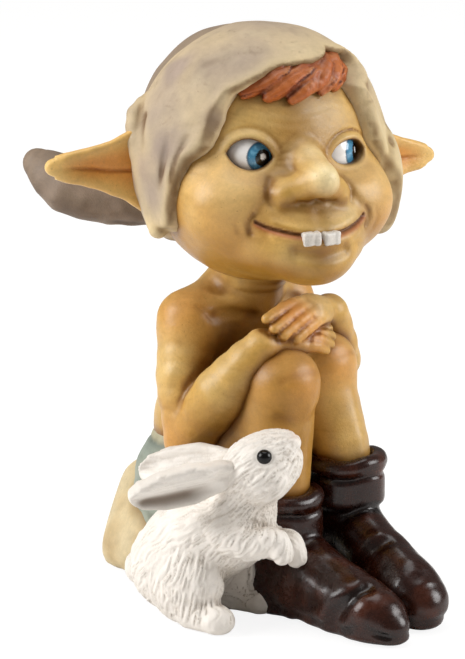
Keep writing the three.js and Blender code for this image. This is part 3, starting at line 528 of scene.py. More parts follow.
def face(p):
    q = to_head(p)
    m = mirrored(q)
    d = skull(q)
    for middle, half, k in FACE_FORMS:
        d = blend(d, egg(m, middle, half), k)
    d = blend(d, egg(q, (0.6, -21.6, -13.8), (5.4, 4.6, 3.6)), 3.5)
    d = cut(d, egg(m, (9.6, -18.4, 3.6), (5, 3, 2.9)), 2.6)
    d = blend(d, nose(q), 1.3)
    # lids
    out = (m - EYE) @ EYE_OUT
    gap, high = almond(q)
    on_eye = bell(size(m - EYE) - EYE_RADIUS - 0.4, 1.6) * (out > 0)
    d = blend(d, np.maximum(ball(m, EYE, EYE_RADIUS + 0.6), -out), 0.9)
    d -= on_eye * (0.25 + 0.55 * smooth(-0.5, 1, high)) * bell(gap - 0.75, 0.6)
    d += on_eye * (0.1 + 0.32 * smooth(0, 1, high)) * bell(gap - 1.95, 0.35)
    d += on_eye * 0.08 * bell(gap - 3.1, 0.4)
    d = cut(d, np.maximum(gap, 1.5 - out), 0.4)
    d = cut(d, ball(m, EYE, EYE_RADIUS + 0.02), 0.15)
    for at, lines in ((m, CROW_LINES), (q, MOUTH_LINES), (m, CHEEK_LINES), (q, BROW_LINES)):
        for line in lines:
            d += decal(at, *line)
    d += 0.1 * lumps(q, 5, 3)
    return both(d, q[:, 1] - 6, 1)


# The hood: where its edge runs round the head (degrees from the face towards the pixie's right, height)

HOOD_EDGE = [(-190, -16.5), (-130, -16), (-100, -14.5), (-90, -12.6), (-80, -13.4), (-70, -13.2), (-66, -11),
             (-68, -7.2), (-66, -3.2), (-58, 1), (-49, 5), (-47, 8.5), (-48, 11.3), (-45, 14.6), (-58, 17.6),
             (-60, 19.2), (-40, 20), (-27, 19), (2, 18.3), (23, 17.5), (36, 15.4), (45, 13.6), (49, 10.4),
             (50.5, 6.6), (52.5, 4.6), (56.5, 3.2), (62, 1.4), (66.5, -2), (68, -6.4), (71, -10), (74, -11.6),
             (82, -12), (88, -11.4), (96, -13.6), (110, -15.2), (140, -16.2), (190, -16.5)]
HOOD_RADIUS = 20
FLAP_FOLD = [(18.6, 7, 10.4), (21.7, 5.8, 7.4), (22.3, 4, 3.2), (21.7, 2.4, -1.2), (20.9, 1, -5.4),
             (20.3, -0.4, -9), (20, -1.8, -11.4)]
HOOD_CREASES = [  # of the clay: points, width and depth
    ([(-21.5, -6.5, 5.5), (-21.4, -5.6, 0.4), (-20.6, -5, -4.6), (-19.6, -5.2, -9)], 0.7, 0.5),
    ([(-19, -9.8, 6.2), (-20.4, -8, 1), (-20.2, -6.8, -5.2)], 0.6, 0.35),
    ([(-17.4, -11.4, 8.8), (-19.6, -8.6, 7.6), (-21.4, -4.6, 7.8)], 0.55, 0.35),
    ([(-13.6, -13.4, 12.4), (-15.4, -12.2, 9.4), (-16, -12.2, 6.2)], 1.4, 0.5),
    ([(20.4, -8.6, 4), (21.6, -7.4, -1), (22, -7, -6.8)], 0.7, 0.4),
    ([(13.8, -10.6, 14.6), (17.6, -9.6, 10.2), (20, -6.4, 6.4)], 0.9, 0.2),
    ([(-4, -10.4, 20.6), (-9, -8, 20.2), (-14, -5, 17.8)], 0.8, 0.28),
]


def hood_cover(q):
    """How far inside the hood's edge a point is, in mm along the head."""
    u = np.arctan2(-q[:, 0], -q[:, 1]) * HOOD_RADIUS
    v = q[:, 2]
    edge = np.array([(math.radians(a) * HOOD_RADIUS, z, 0) for a, z in HOOD_EDGE], np.float32)
    d = from_line(np.stack([u, v, np.zeros_like(u)], 1), edge)
    loop = np.vstack([edge, [(edge[-1][0], -60, 0), (edge[0][0], -60, 0)]])
    below = np.zeros(len(q), bool)
    for a, b in zip(loop, np.roll(loop, -1, 0)):
        if a[1] != b[1]:
            hit = (a[1] > v) != (b[1] > v)
            below ^= hit & (u < (b[0] - a[0]) * (v - a[1]) / (b[1] - a[1]) + a[0])
    return np.where(below, -d, d)


def from_fold(q):
    return from_line(mirrored(q), curve(FLAP_FOLD, 10))


def hood(p):
    q = to_head(p)
    m = mirrored(q)
    inside = hood_cover(q) + (0.35 * noise(q / 3, 16) + 0.07 * noise(q / 0.9, 17))
    rim = bell(inside - 1.2, 1.6)
    front = smooth(6.5, 4.5, q[:, 1] - 0.1 * q[:, 2])
    flare = bell(from_fold(q), 5.5) * front
    thick = (1.35 + 0.95 * front + (0.35 + 0.5 * smooth(8, 16, q[:, 2])) * rim + 0.6 * flare
             + 0.6 * smooth(8, 20, q[:, 2]))
    d = skull(q) - thick - 0.2 * lumps(q, 7, 11) - 0.03 * lumps(q, 2.4, 12)
    d = blend(d, egg(q, JAW, JAW_HALF) - thick * 0.8, 3)
    d = blend(d, egg(q, (0, 6.6, 2.8), (19.6, 18.8, 20)) - 0.25 * lumps(q, 7, 15), 1.5)
    d = blend(d, egg(q, (20.6, -5.4, -4), (3.6, 5.5, 9.5)), 2)
    d = both(d, -inside, 2)
    d = blend(d, tube(m, FLAP_FOLD, (1, 1.7, 1.7, 1.6, 1.5, 1.6, 1.7), 13), 0.7)
    d += groove(m, [(x - 0.6, y - 3.4, z) for x, y, z in FLAP_FOLD[1:]], 1, 0.55)
    d = carved(d, q, HOOD_CREASES)
    d = cut(d, skull(q, -0.6), 0.4)
    return cut(d, egg(q, JAW, (17.6, 13, 11)), 0.4)


EAR_FRONT = vec(0.26, -0.96, -0.02)
EAR_END = 1.8  # length of the ear's rounded end


def ear_space(side, q):
    """Along the ear, up across it, out of its hollow front, and the ear's length."""
    root, tip = vec(17, 2.4, -1.2), vec(37.6, 8, -2)
    along = unit(tip - root)
    front = unit(EAR_FRONT - along * (EAR_FRONT @ along))
    m = q * vec(side, 1, 1) - root
    return m @ along, m @ np.cross(front, along), m @ front, float(np.linalg.norm(tip - root))


def ear(side, p):
    s, t, w, length = ear_space(side, to_head(p))
    share = np.clip(s / length, -0.3, 1.1)
    top = np.interp(share, (-0.3, 0, 0.15, 0.3, 0.47, 0.66, 0.95), (11, 10, 8.6, 6.6, 4.6, 3.4, 2))
    low = np.interp(share, (-0.3, 0, 0.15, 0.35, 0.6, 0.84, 0.95), (-12, -10.6, -8.8, -6, -3.8, -2.7, -1.8))
    middle, half = (top + low) / 2, (top - low) / 2
    across = np.clip((t - middle) / half, -1.3, 1.3)
    cup = np.interp(share, (-0.3, 0.1, 0.6, 0.95), (2.6, 2.3, 1.1, 0)) * (1 - across ** 2)
    thick = np.interp(share, (0, 0.6, 0.85, 1), (1.05, 1.2, 1.4, 0.9)) + 0.35 * np.abs(across) ** 3
    sheet = (np.abs(w + cup) - thick) * 0.75
    outline = (np.abs(across) - 1) * half * 0.9
    end = np.hypot(np.maximum(s - length + EAR_END, 0), t - middle) - 1.85
    d = both(both(sheet, outline, 1.6), np.where(s > length - EAR_END, end, -3), 0.8)
    crease = bell(t - middle + 0.4 + 0.5 * np.sin(s * 0.25), 0.35)
    d += 0.35 * crease * smooth(20, 14, s) * smooth(1.5, 4.5, s) * (w > -cup)
    return both(d + 0.06 * noise(p / 1.6, 21), -s - 3.5, 0.5).astype(np.float32)


HAIR_LOCKS = [  # from under the hood's edge to each tip: x, z, and how far out of the brow; then the radii
    ([(3, 19.2, 0.8), (-2.6, 18.2, 1.8), (-7, 16.3, 1.6), (-10.2, 14.6, 1.2)], (1.2, 1.6, 1.6, 1.5)),
    ([(4, 19.2, 1.5), (-0.8, 17.6, 3), (-5, 15.2, 2.7), (-8.8, 13.7, 1.5)], (1.3, 1.9, 1.9, 1.5)),
    ([(5, 18.6, 1.9), (1.2, 16.6, 3.2), (-2, 14.6, 2.8), (-5.4, 13.4, 1.7)], (1.3, 1.8, 1.8, 1.4)),
    ([(5.8, 18.4, 2.2), (3.2, 16.2, 3.5), (1, 14.2, 3.1), (-1.6, 12.8, 1.9)], (1.3, 1.7, 1.7, 1.2)),
    ([(6.6, 18.6, 2.2), (5.4, 16.8, 3.8), (3.8, 15, 3.4), (1.4, 13.6, 2)], (1.4, 1.9, 1.7, 0.9)),
    ([(7.6, 18.9, 1.9), (7.8, 17.1, 3.2), (6.6, 15.2, 3), (4.2, 13.8, 1.9)], (1.5, 2, 1.8, 1)),
    ([(7, 19.4, 1.4), (9.8, 18, 2), (9.9, 15.8, 1.8), (7.6, 14.2, 1.4)], (1.3, 1.8, 1.7, 1)),
]
HAIR_MASS = [(8, 16.8, 0.2), (3, 16.2, 0.7), (-3.4, 15.4, 0.7), (-8.8, 14.9, 0)]  # what the locks lie on


def on_brow(x, z, out):
    rest = max(1 - (x / SKULL[0]) ** 2 - (z / SKULL[2]) ** 2, 0.02)
    spot = np.array([x, -SKULL[1] * math.sqrt(rest), z])
    way = spot / SKULL ** 2
    return tuple(spot + out * way / np.linalg.norm(way))


def hair(p):
    q = to_head(p)
    d = tube(q, [on_brow(*spot) for spot in HAIR_MASS], (1.9, 2.3, 2.4, 1.9), 8, 0.4)
    for way, radii in HAIR_LOCKS:
        d = blend(d, tube(q, [on_brow(x, z, 0.6 * out - 0.5) for x, z, out in way], radii, 9, 0.2), 0.4)
    x, y, z = q.T
    bend = 0.25 * noise(q / 1.5, 30)
    combed = np.stack([z * 0.87 - x * 0.5 + bend, (x * 0.87 + z * 0.5) * 0.1, y * 0.4], 1)
    d += 0.3 * bell(noise(combed * 1.3, 31), 0.45)
    return cut(d, skull(q, -0.5), 0.3)


TAIL_LINE = [(-1, 18.5, -1.5), (-9, 23.5, -8), (-17, 26.5, -10.2), (-23.6, 29.6, -9.4), (-27.8, 34, -6.4)]


def cap_tail(p):
    q = to_head(p)
    d = carved(tube(q, TAIL_LINE, (9.6, 7.5, 5.7, 4.7, 2.7), 9, 1.5), q, [
        ([(-6, 16, -6), (-14, 22, -7.5), (-22, 28, -7.5)], 1.2, 0.6),
        ([(-8, 20, -14), (-16, 23.5, -14.6), (-23, 28, -12)], 0.9, 0.4)])
    return d + 0.3 * lumps(q, 5, 41)


# The bare body

SHOULDER = {-1: (-10.8, 0.8, 48.4), 1: (11.4, 1, 48.2)}
ELBOW = {-1: (-14.8, -3.6, 28.2), 1: (14.6, -3, 27.8)}
WRIST = {-1: (-9.2, -16.4, 46.6), 1: (8.6, -14.2, 49.2)}
KNUCKLES = {-1: (-3, -18, 47.2), 1: (2.4, -16.6, 51.4)}
FINGERS = {  # knuckle, bend, tip
    -1: [
        [(-3.2, -16.6, 47.8), (0.8, -17.4, 48.4), (5, -17.8, 47.6)],
        [(-3, -17.8, 47.4), (0.6, -18.8, 47.8), (4.6, -19, 46.6)],
        [(-3, -18.8, 46.8), (0.2, -19.8, 47), (3.4, -20, 45.6)],
        [(-3.4, -19.4, 46), (-0.6, -20.4, 46), (2, -20.4, 44.8)],
    ],
    1: [
        [(1.2, -16, 52.6), (-3.6, -17, 53), (-9.2, -17.6, 51.8)],
        [(1.4, -17, 52), (-3, -18.2, 52), (-8.6, -18.8, 50.2)],
        [(1.8, -17.9, 51.2), (-2.2, -19.2, 50.9), (-7.2, -19.6, 49)],
        [(2, -18.6, 50.2), (-1.2, -19.8, 49.5), (-4.8, -20.2, 48)],
    ],
}
COLLAR_BONES = [
    ([(2.2, -6, 51.4), (6.5, -4.6, 52), (11, -1.4, 52.4)], 1, -0.5),
    ([(2.6, -6.4, 49.6), (7, -5.6, 49.8), (10.4, -3.6, 49.6)], 1.1, 0.45),
]
SHOULDER_FOLD = [(-15.2, -1, 53.2), (-12.4, -3.4, 52), (-10, -5.2, 49.2)]
SPINE = [(0, 16, 27), (0, 13.8, 34), (0, 12.2, 41), (0, 8.4, 48.5)]
SHOULDER_BLADE = [(5, 10.6, 45), (6.8, 11.4, 41), (6, 12, 37.5)]


def arm(side, p):
    shoulder, elbow, wrist = (np.array(spot[side]) for spot in (SHOULDER, ELBOW, WRIST))
    upper = [shoulder, (shoulder + elbow) / 2 + (side * 1, 0.2, 1), elbow]
    fore = [elbow, (elbow + wrist) / 2 + (side * 1.8, -1.2, 0.7), wrist]
    return blend(tube(p, upper, (4.9, 4.8, 4.1), 7, 0.6), tube(p, fore, (4.3, 5, 3.4), 7, 0.6), 0.9)


def hand(side, p):
    wrist = np.array(WRIST[side])
    d = rod(p, wrist, KNUCKLES[side], 2.9, 2.5)
    for finger in FINGERS[side]:
        start = np.array(finger[0])
        d = blend(d, rod(p, (wrist + 2 * start) / 3, start, 1.7, 1.4), 1.2)
    for finger in FINGERS[side]:
        d = blend(d, tube(p, finger, (1.3, 1.2, 1), 6, 0.3), 0.35)
    return d


def trunk(p):
    d = egg(p, (0, 5.6, 27.5), (12, 10.4, 11))
    d = blend(d, egg(p, (0, 3.2, 40.5), (12.4, 8.8, 11)), 5)
    d = blend(d, tube(p, [SHOULDER[-1], (0, 1.2, 49.8), SHOULDER[1]], (4.6, 5.2, 4.6), 6, 1), 4)
    return blend(d, tube(p, [(0, 0, 49), (0, -2.6, 55.5), (0, -6, 62.5)], (6.9, 6.3, 6.8), 5, 1), 3.4)


def body(p):
    at_shoulder = smooth(36, 47, p[:, 2])
    d = blend(trunk(p), np.minimum(arm(-1, p), arm(1, p)), 0.6 + 3 * at_shoulder)
    d = blend(blend(d, hand(-1, p), 0.7), hand(1, p), 0.35)
    for i, z in enumerate((53.6, 55.2, 56.8)):  # folds of the throat
        ring = [(-5.2 + i, -6 - 0.6 * i, z + 0.6), (-2, -8.6 - 0.7 * i, z), (1.8, -8.9 - 0.7 * i, z - 0.3),
                (5 - i, -6.6 - 0.6 * i, z + 0.8)]
        d = carved(d, p, [(ring, 0.6, 0.12), ([(x, y - 0.3, h + 0.75) for x, y, h in ring], 0.7, -0.2)])
    mirror = mirrored(p)
    d = carved(d, mirror, COLLAR_BONES)
    d = carved(d, p, [(SHOULDER_FOLD, 0.6, 0.3), (SPINE, 1.7, 0.5)])
    d -= groove(mirror, SHOULDER_BLADE, 1.8, 0.4)
    d += 0.12 * lumps(p, 5.5, 51) + 0.03 * noise(p / 0.9, 52)
    return both(d, 20 - p[:, 2], 0.5)


KNEE = {-1: (-6.7, -18.6, 39.4), 1: (6, -14.2, 39.6)}
ANKLE = {-1: (-8.6, -20.5, 20.4), 1: (5.6, -21.5, 24.2)}
HIP = {-1: (-7.6, 3, 13), 1: (7.6, 3, 13)}


def leg(side, p):
    knee, ankle, hip = (np.array(spot[side]) for spot in (KNEE, ANKLE, HIP))
    calf = knee * 0.62 + ankle * 0.38 + (0, 0.7, 0)
    shin = tube(p, [knee, calf, ankle * 0.85 + knee * 0.15, ankle - (0, 0, 4)], (6.1, 6.1, 5, 4.4), 9, 0.8)
    d = blend(shin, rod(p, knee, knee * 0.45 + hip * 0.55, 6.2, 6.8), 1.6)
    d = blend(d, egg(p, knee + (0, -1.6, 1.4), (5.2, 4.8, 5)), 2.5)
    d = carved(d, p, [
        ([knee + (0.6, -6.4, -3), ankle + (0.4, -4.9, 3)], 1.5, -0.35),
        ([knee + (-4.5, -4.4, -4), knee + (0, -6.8, -5.2), knee + (4.2, -4.8, -4)], 1, 0.25),
        ([knee + (-4, -4.6, 2.6), knee + (0, -6.2, 3.8), knee + (4, -4.6, 2.8)], 0.8, 0.2)])
    return d + 0.12 * lumps(p, 5, 61 + side)


BAND_LOW, BAND_TOP = 24.4, 28.8  # the shorts' waistband


def shorts(p):
    d = egg(p, (0, 4.8, 15), (15.9, 14.5, 16.5))
    for side in (-1, 1):
        hip, knee = np.array(HIP[side]), np.array(KNEE[side])
        hem = hip * 0.5 + knee * 0.5
        sleeve = both(rod(p, hip, hem, 8.8, 8), (p - hem.astype(np.float32)) @ unit(knee - hip) - 1.2, 1.2)
        d = blend(d, sleeve, 1.6)
    z = p[:, 2]
    d = both(d, z - BAND_TOP, 1) - 0.3 * bell(z - 26.8, 1.6)
    d += 0.3 * bell(z - BAND_LOW, 0.5)
    fold = noise(np.stack([p[:, 0] * 0.16, p[:, 1] * 0.16, z * 0.5], 1) * 1.3, 71)
    d -= 0.45 * fold * smooth(24, 20, z)
    return both(d + 0.06 * noise(p / 1.2, 72), 1.2 - z, 0.5)


STONE_FACETS = [  # a point of each, and its way out
    ((-12, 14, 12), (-0.8, 0.3, 0.5)), ((4, 26, 10), (0.2, 0.8, 0.5)), ((12, 16, 10), (0.85, 0.3, 0.4)),
    ((-8, 24, 6), (-0.5, 0.85, 0.1)),
]


def stone(p):
    d = egg(p, (-0.5, 12.2, 6), (16.2, 18.2, 13.6))
    d += 0.7 * lumps(p, 8, 81) + 0.2 * lumps(p, 2.4, 82)
    for spot, out in STONE_FACETS:
        d = both(d, (p - vec(*spot)) @ vec(*out) - 0.6, 2.2)
    return both(d, -p[:, 2] + 0.05, 0.7)


BOOT_TOE = {-1: 31, 1: 27.5}  # from the ankle to the tip
BOOT_TURN = {-1: 1.5, 1: -8}
BOOT_LIFT = {-1: 0.4, 1: 4.4}  # how much higher the slouched cuff sits
BOOT_CREST = {-1: 4, 1: 7.4}  # height of the instep's core above the toes
BOOT_HEIGHTS = {-1: (4.2, 5, 4.8, 4.1, 2.9), 1: (4.2, 5, 5, 4.7, 3.9)}  # the foot's core, heel to toe
BOOT_RADII = {-1: (4.8, 5.4, 5.6, 4.8, 3), 1: (4.8, 5.4, 5.6, 5.3, 4)}
BOOT_FOLDS = {  # share of the foot, lean and depth
    -1: ((0.3, 0.8, 0.4), (0.8, -0.4, 0.75)),
    1: ((0.26, 0.8, 0.35), (0.62, -1.2, 0.55)),
}
FOLD_LINES = [  # the hollow, the lip over it and the puff before it: back, up, width, share of the depth
    (0, 0, 1.3, 1), (2.4, 0.8, 1.3, -0.45), (-2.9, -1, 2.2, -0.35),
]
TOE_CREASE = [(-4.9, -21, 1.9), (-4.7, -25, 3.3), (-2.6, -29, 2.2)]


def boot(side, p):
    toe, lift = BOOT_TOE[side], BOOT_LIFT[side]
    q = (p - vec(*ANKLE[side][:2], 0)) @ turned(z=BOOT_TURN[side])
    ways = (2.6, -toe * 0.2, -toe * 0.52, -toe * 0.78, BOOT_RADII[side][-1] - toe)
    foot = tube(q, [(0, y, z) for y, z in zip(ways, BOOT_HEIGHTS[side])], BOOT_RADII[side], 9, 1)
    shaft = tube(q, [(0, 0.6, 3.5), (0, 0.2, 9.5), (0, -0.2, 16 + lift)], (5.4, 5.2, 5.9), 5, 0.8)
    instep = rod(q, (0, -1, 12 + 0.5 * lift), (0, 8.5 - toe, BOOT_CREST[side]), 5, 4.5)
    d = blend(foot, blend(shaft, instep, 2), 2)
    # slumped folds over the instep, on the outer side
    for share, lean, deep in BOOT_FOLDS[side]:
        y = 2 - share * (toe - 2)
        top = np.interp(-y, (1, toe - 8.5), (12 + 0.5 * lift, BOOT_CREST[side])) + 4.7
        ring = [(-6.2, y + 3.2 + lean, top - 6.6), (-4.6, y, top - 2.6),
                (-1.6, y - 1.8 - 0.4 * lean, top - 0.4)]
        d = carved(d, q, [([(x, w + back, z + up) for x, w, z in ring], wide, part * deep)
                          for back, up, wide, part in FOLD_LINES])
    if side < 0:
        d += groove(q, TOE_CREASE, 0.7, 0.4)
    for x, depth in ((-1, 0.35), (1, 0.3)):  # waist of the sole
        waist = [(x * 5.6, -4, 3.6), (x * 5.4, -toe * 0.4, 5.2), (x * 4, -toe * 0.62, 4.4)]
        d += groove(q, waist, 1.8, depth)
    d -= 0.3 * noise(q / 5, 91 + side) + 0.07 * lumps(q * vec(0.6, 1.3, 1), 4.2, 97)
    # sole
    low = q[:, 2]
    d -= 0.3 * bell(low - 0.9, 0.8)
    d += 0.2 * bell(low - 2.3, 0.6)
    d = cut(d, np.hypot(q[:, 1] + 9.5, low + 5.2) - 6, 0.5)  # arch before the ball of the foot
    # slouched cuff with a rolled rim
    r, a = np.hypot(q[:, 0], q[:, 1] + 0.2), np.arctan2(q[:, 0], -q[:, 1])
    wave = 0.7 * np.sin(2 * a + 0.6 * side) + 0.4 * np.sin(5 * a + 1.3 * side)
    up = low - lift - 0.35 * wave
    band = both(r - 7 - 0.22 * np.sin(4 * a) - 0.3 * np.sin(2 * a + 1), np.abs(up - 16.4) - 4, 2)
    rim = np.hypot(r - 5.9, up - 20.2) - 1.6
    d = blend(d, blend(band, rim, 0.5), 0.6)
    d += 0.35 * bell(up - 18.4, 0.5) * smooth(4.5, 6.5, r)
    d = cut(d, np.maximum(r - 4.4, 18 - up), 0.6)
    return both(d - 0.05 * noise(q / 1.5, 95), -low + 0.03, 0.4).astype(np.float32)


# The rabbit

RABBIT = vec(-21.2, -15.6, 0)
RABBIT_TURN = turned(z=16)
RABBIT_HEAD = vec(0.2, -11.3, 28.8)
RABBIT_HEAD_TURN = turned(x=-35, z=26)
RABBIT_EYE = vec(4.35, -2.2, 2.2)
RABBIT_EAR = 17.5  # length
RABBIT_EAR_OUT = (0.94, 0.1, -0.3)


def to_rabbit(p):
    return (p - RABBIT) @ RABBIT_TURN


def to_rabbit_head(p):
    return (to_rabbit(p) - RABBIT_HEAD) @ RABBIT_HEAD_TURN


def rabbit(p):
    q = to_rabbit(p)
    m = mirrored(q)
    h = to_rabbit_head(p)
    hm = mirrored(h)
    torso = tube(q, [(0, 6, 8.8), (0, 1.2, 14), (0, -5.6, 17), (0, -8.2, 23)], (8.6, 8.2, 6.4, 5), 9, 1.2)
    haunch = egg(m, (5.4, 1.2, 8), (4.4, 7.6, 8))
    foot = rod(m, (6.6, -1, 2.4), (6.9, -6.2, 2.3), 2.7, 2.7)
    foot = blend(foot, egg(m, (6.9, -6.8, 2.2), (3, 2.6, 2.3)), 0.8)
    d = blend(blend(torso, haunch, 1), foot, 1.1)
    for side, reach, drop in ((-1, -15.8, -1), (1, -14.4, 1.4)):
        foreleg = [(side * 4.6, -6.4, 17.4), (side * 4.4, -11.6, 15.2 - drop),
                   (side * 3.6, reach, 16.2 - drop), (side * 3.4, reach - 1.6, 14 - drop)]
        d = blend(d, tube(q, foreleg, (3.4, 2.9, 2.3, 1.9), 8, 0.6), 0.9)
    d = blend(d, egg(q, (0, 13.6, 7), (3.3, 2.9, 3.3)), 0.6)  # tail
    head = egg(h, (0, 0.8, 0.2), (5.9, 7.6, 6.1))
    head = blend(head, egg(h, (0, -3.8, 1.2), (2.9, 4.2, 2.9)), 2.6)
    head = blend(head, egg(h, (0, -2.2, -1.5), (3.1, 3.8, 3)), 1.8)
    head = blend(head, egg(hm, (3, 0.2, -1.9), (3.3, 4.2, 3.4)), 1.6)
    head += groove(h, [(0, -8, 1.7), (0, -7.6, -0.5)], 0.35, 0.45)
    head = carved(head, hm, [([(0.1, -7.5, -0.5), (1.6, -6.6, -1.2), (2.8, -5, -1.3)], 0.35, 0.35),
                             ([(0.8, -7.8, 1.8), (1.5, -7.2, 2.3)], 0.4, 0.35)])
    from_eye = size(hm - RABBIT_EYE)
    head += 0.2 * bell(from_eye - 1.4, 0.35)
    d = blend(d, head, 1.6)
    # carved fur
    near_head = smooth(1, -1.5, head - np.minimum(torso, haunch))
    near_haunch = smooth(1.2, -0.6, haunch - torso) * (1 - near_head)
    back = strokes(q, (0, 0, 12), (0, 0.72, -0.69), 101)
    thigh = strokes(q, (0, 1, 9), (0, 0.25, -0.97), 104, reach=9)
    brow = strokes(h, (0, 0, 0), (0, 1, -0.1), 107, reach=6, across=0.3, along=2)
    fur = back * (1 - near_head - near_haunch) + thigh * near_haunch + brow * near_head
    calm = np.clip(np.minimum(from_eye - 1.5, 8 + h[:, 1]), 0, 1) * smooth(0.8, 2.5, q[:, 2])
    d += 0.27 * fur * calm + 0.04 * noise(p / 0.8, 109)
    return both(d, -p[:, 2] + 0.05, 0.5).astype(np.float32)


def rabbit_ear_space(side, p):
    """Along the rabbit's ear, out of its side, up across it, and the half width there."""
    flip = vec(side, 1, 1)
    way = unit(vec(0.26, 0.88, 0.38) * flip)
    out = vec(*RABBIT_EAR_OUT) * flip
    out = unit(out - way * (out @ way))
    rel = to_rabbit_head(p) - vec(3.4, 5.2, 3) * flip
    along = rel @ way
    half = np.interp(along / RABBIT_EAR, (-0.1, 0.05, 0.35, 0.65, 0.88, 1), (2.2, 2.9, 4.3, 4.1, 2.9, 0.9))
    return along, rel @ out, rel @ (-side * np.cross(way, out)), half


def rabbit_ear(side, p):
    s, w, t, half = rabbit_ear_space(side, p)
    across = np.clip(t / half, -1.2, 1.2)
    ends = smooth(0.5, 4, s) * smooth(RABBIT_EAR, RABBIT_EAR - 3.5, s)
    # the upper half rolls over the hollow below it
    roll = (0.9 * smooth(-0.2, 0.6, across) - bell(across + 0.45, 0.35)) * ends
    thick = 0.95 + 0.5 * smooth(0, 0.8, across)
    d = both((np.abs(w - roll) - thick) * 0.8, (np.abs(across) - 1) * half, 0.9)
    d = both(both(d, s - RABBIT_EAR, 0.9), -s - 1.5, 0.5)
    hair_lines = noise(np.stack([t / 0.45, s / 3, w / 2], 1), 121 + side)
    d += 0.12 * bell(hair_lines, 0.3) * (across > -0.1)
    return d.astype(np.float32)


# Painting

FACE_BLUSH = [((-13, -15, -5), 6, 0.5), ((13, -15, -5), 6, 0.5)]  # middle, reach and share
FACE_SHADE = [((0, -25.6, -11.5), 3.4, 0.75), ((0, -15, 8), 8, 0.5), ((0, -23, -6), 3.6, 0.12),
              ((-9.5, -19, -7.5), 3.6, 0.35), ((9.5, -19, -7), 3.6, 0.35), ((-7, -18, -1), 3.2, 0.3)]
BODY_BLUSH = [((-14.5, -1, 51.5), 5.5, 0.6), ((14.5, -1, 51.5), 5.5, 0.6), ((-16.5, -3.5, 29), 5.5, 0.6),
              ((16.5, -3.5, 29), 5.5, 0.6), ((-5, -18.6, 51), 4.2, 0.85),
              *[(finger[1], 2.4, 0.4) for side in (1, -1) for finger in FINGERS[side]]]
BODY_SHADE = [((0, -8, 50), 6.5, 0.55), ((-6, -6, 47), 5, 0.4)]


def paint_skin(s, blush=(), shade=(), at=None):
    """Skin with dabs of blush and shade, which are placed in the frame that the points at are in."""
    at = s.p if at is None else at
    up = s.n[:, 2]
    drift = s.p[:, 2] + 2.2 * noise(s.p / 6, 204) + 0.25 * s.p[:, 0]
    brush = noise(np.stack([s.p[:, 0] / 3.2, s.p[:, 1] / 3.2, drift / 0.6], 1), 203)
    return over(flat("#cca152", s.p),
                # Painted highlight on proud edges and on faces that look up, with lighter patches of the
                # paint
                ("#eacf93", 0.6 * s.edge + 0.42 * smooth(0, 0.8, up) + 0.3 * lumps(s.p, 9, 202)),
                # Painted shade on faces that look down, with darker patches of the paint
                ("#9f6b14", 0.65 * smooth(0.2, -0.8, up) + 0.3 * lumps(s.p, 7, 201)),
                ("#9c6c22", 0.17 * smooth(0.15, 0.8, brush)),
                *[("#d68a3c", 0.8 * share * dab(at, spot, reach)) for spot, reach, share in blush],
                *[("#7d4b07", share * dab(at, spot, reach)) for spot, reach, share in shade])


def paint_face(s):
    q = to_head(s.p)
    lip = decal(q, [(x, z - 0.4) for x, z in SMILE], 0.55, 1, -15)
    gap, _ = almond(q)
    lids = bell(size(mirrored(q) - EYE) - EYE_RADIUS - 0.4, 1.2)
    s.wash_and_shade = np.clip(0.72 * s.wash_and_shade * (1 - 0.45 * lip), 0, 1)
    return over(paint_skin(s, FACE_BLUSH, FACE_SHADE, q),
                # Painted highlight on both cheeks
                ("#edcf94", 0.5 * dab(q, (-13.5, -17, -2.5), 4.5) + 0.4 * dab(q, (12.5, -17, -2.5), 4)),
                ("#a54a28", 0.7 * lip),
                ("#4a1a0b", 0.7 * decal(q, SMILE, 0.26, 1, -15)),
                ("#e8cd92", 0.8 * lids * bell(gap - 0.7, 0.5)),
                ("#5a3413", 0.9 * lids * bell(gap, 0.35)),
                # Painted highlight on the tip and the bridge of the nose
                ("#f3e0ae", 0.85 * dab(q, (0, -27, 2.2), 3.4) + 0.4 * dab(q, (0, -20, 5.4), 3)))


def paint_hood(s):
    q = to_head(s.p)
    x, y, z = q.T
    crown = smooth(10, 18, z) + smooth(6, 12, np.abs(x)) * smooth(-14, -6, y)
    behind = smooth(4.4, 6.6, y - 0.1 * z)
    rim = bell(hood_cover(q) - 0.4, 2) * smooth(6, 2, y)
    scratch = bell(stretched(q, 3, 3, 0.8, 213), 0.05)
    return over(flat("#c2ad8b", s.p),
                ("#9c8a80", 0.8 * smooth(0, 0.9, lumps(q, 9, 211))),
                ("#d3c09a", 0.5 * smooth(0.1, 0.9, lumps(q, 4, 212))),
                ("#948479", 0.7 * np.clip(crown, 0, 1) * smooth(-1, 0.7, lumps(q, 9, 216))),
                ("#94826f", 0.3 * smooth(0.1, 0.8, stretched(q, 1.2, 1.2, 6, 215))),
                # Painted shade over the back of the hood
                ("#857362", 0.85 * behind),
                ("#dcc596", 0.5 * rim + 0.7 * bell(from_fold(q), 1.9) + 0.3 * s.edge),
                ("#8a7365", 0.8 * dab(q, (-15.2, -12.6, 9.6), 2.4)),
                # Painted light: a lighter patch over the far flap
                ("#dcc797", 0.7 * dab(q, (18.5, -9.5, 3), 8)),
                ("#6b5238", 0.28 * scratch * smooth(0.35, 0.6, noise(q / 4, 214)) * (1 - behind)))


def paint_tail(s):
    # Painted shade on the faces that look down, and lighter patches of the paint
    return over(flat("#83705d", s.p), ("#604b38", 0.8 * smooth(0.3, -0.9, s.n[:, 2])),
                ("#988574", 0.55 * smooth(-0.2, 0.7, lumps(s.p, 5, 221))))


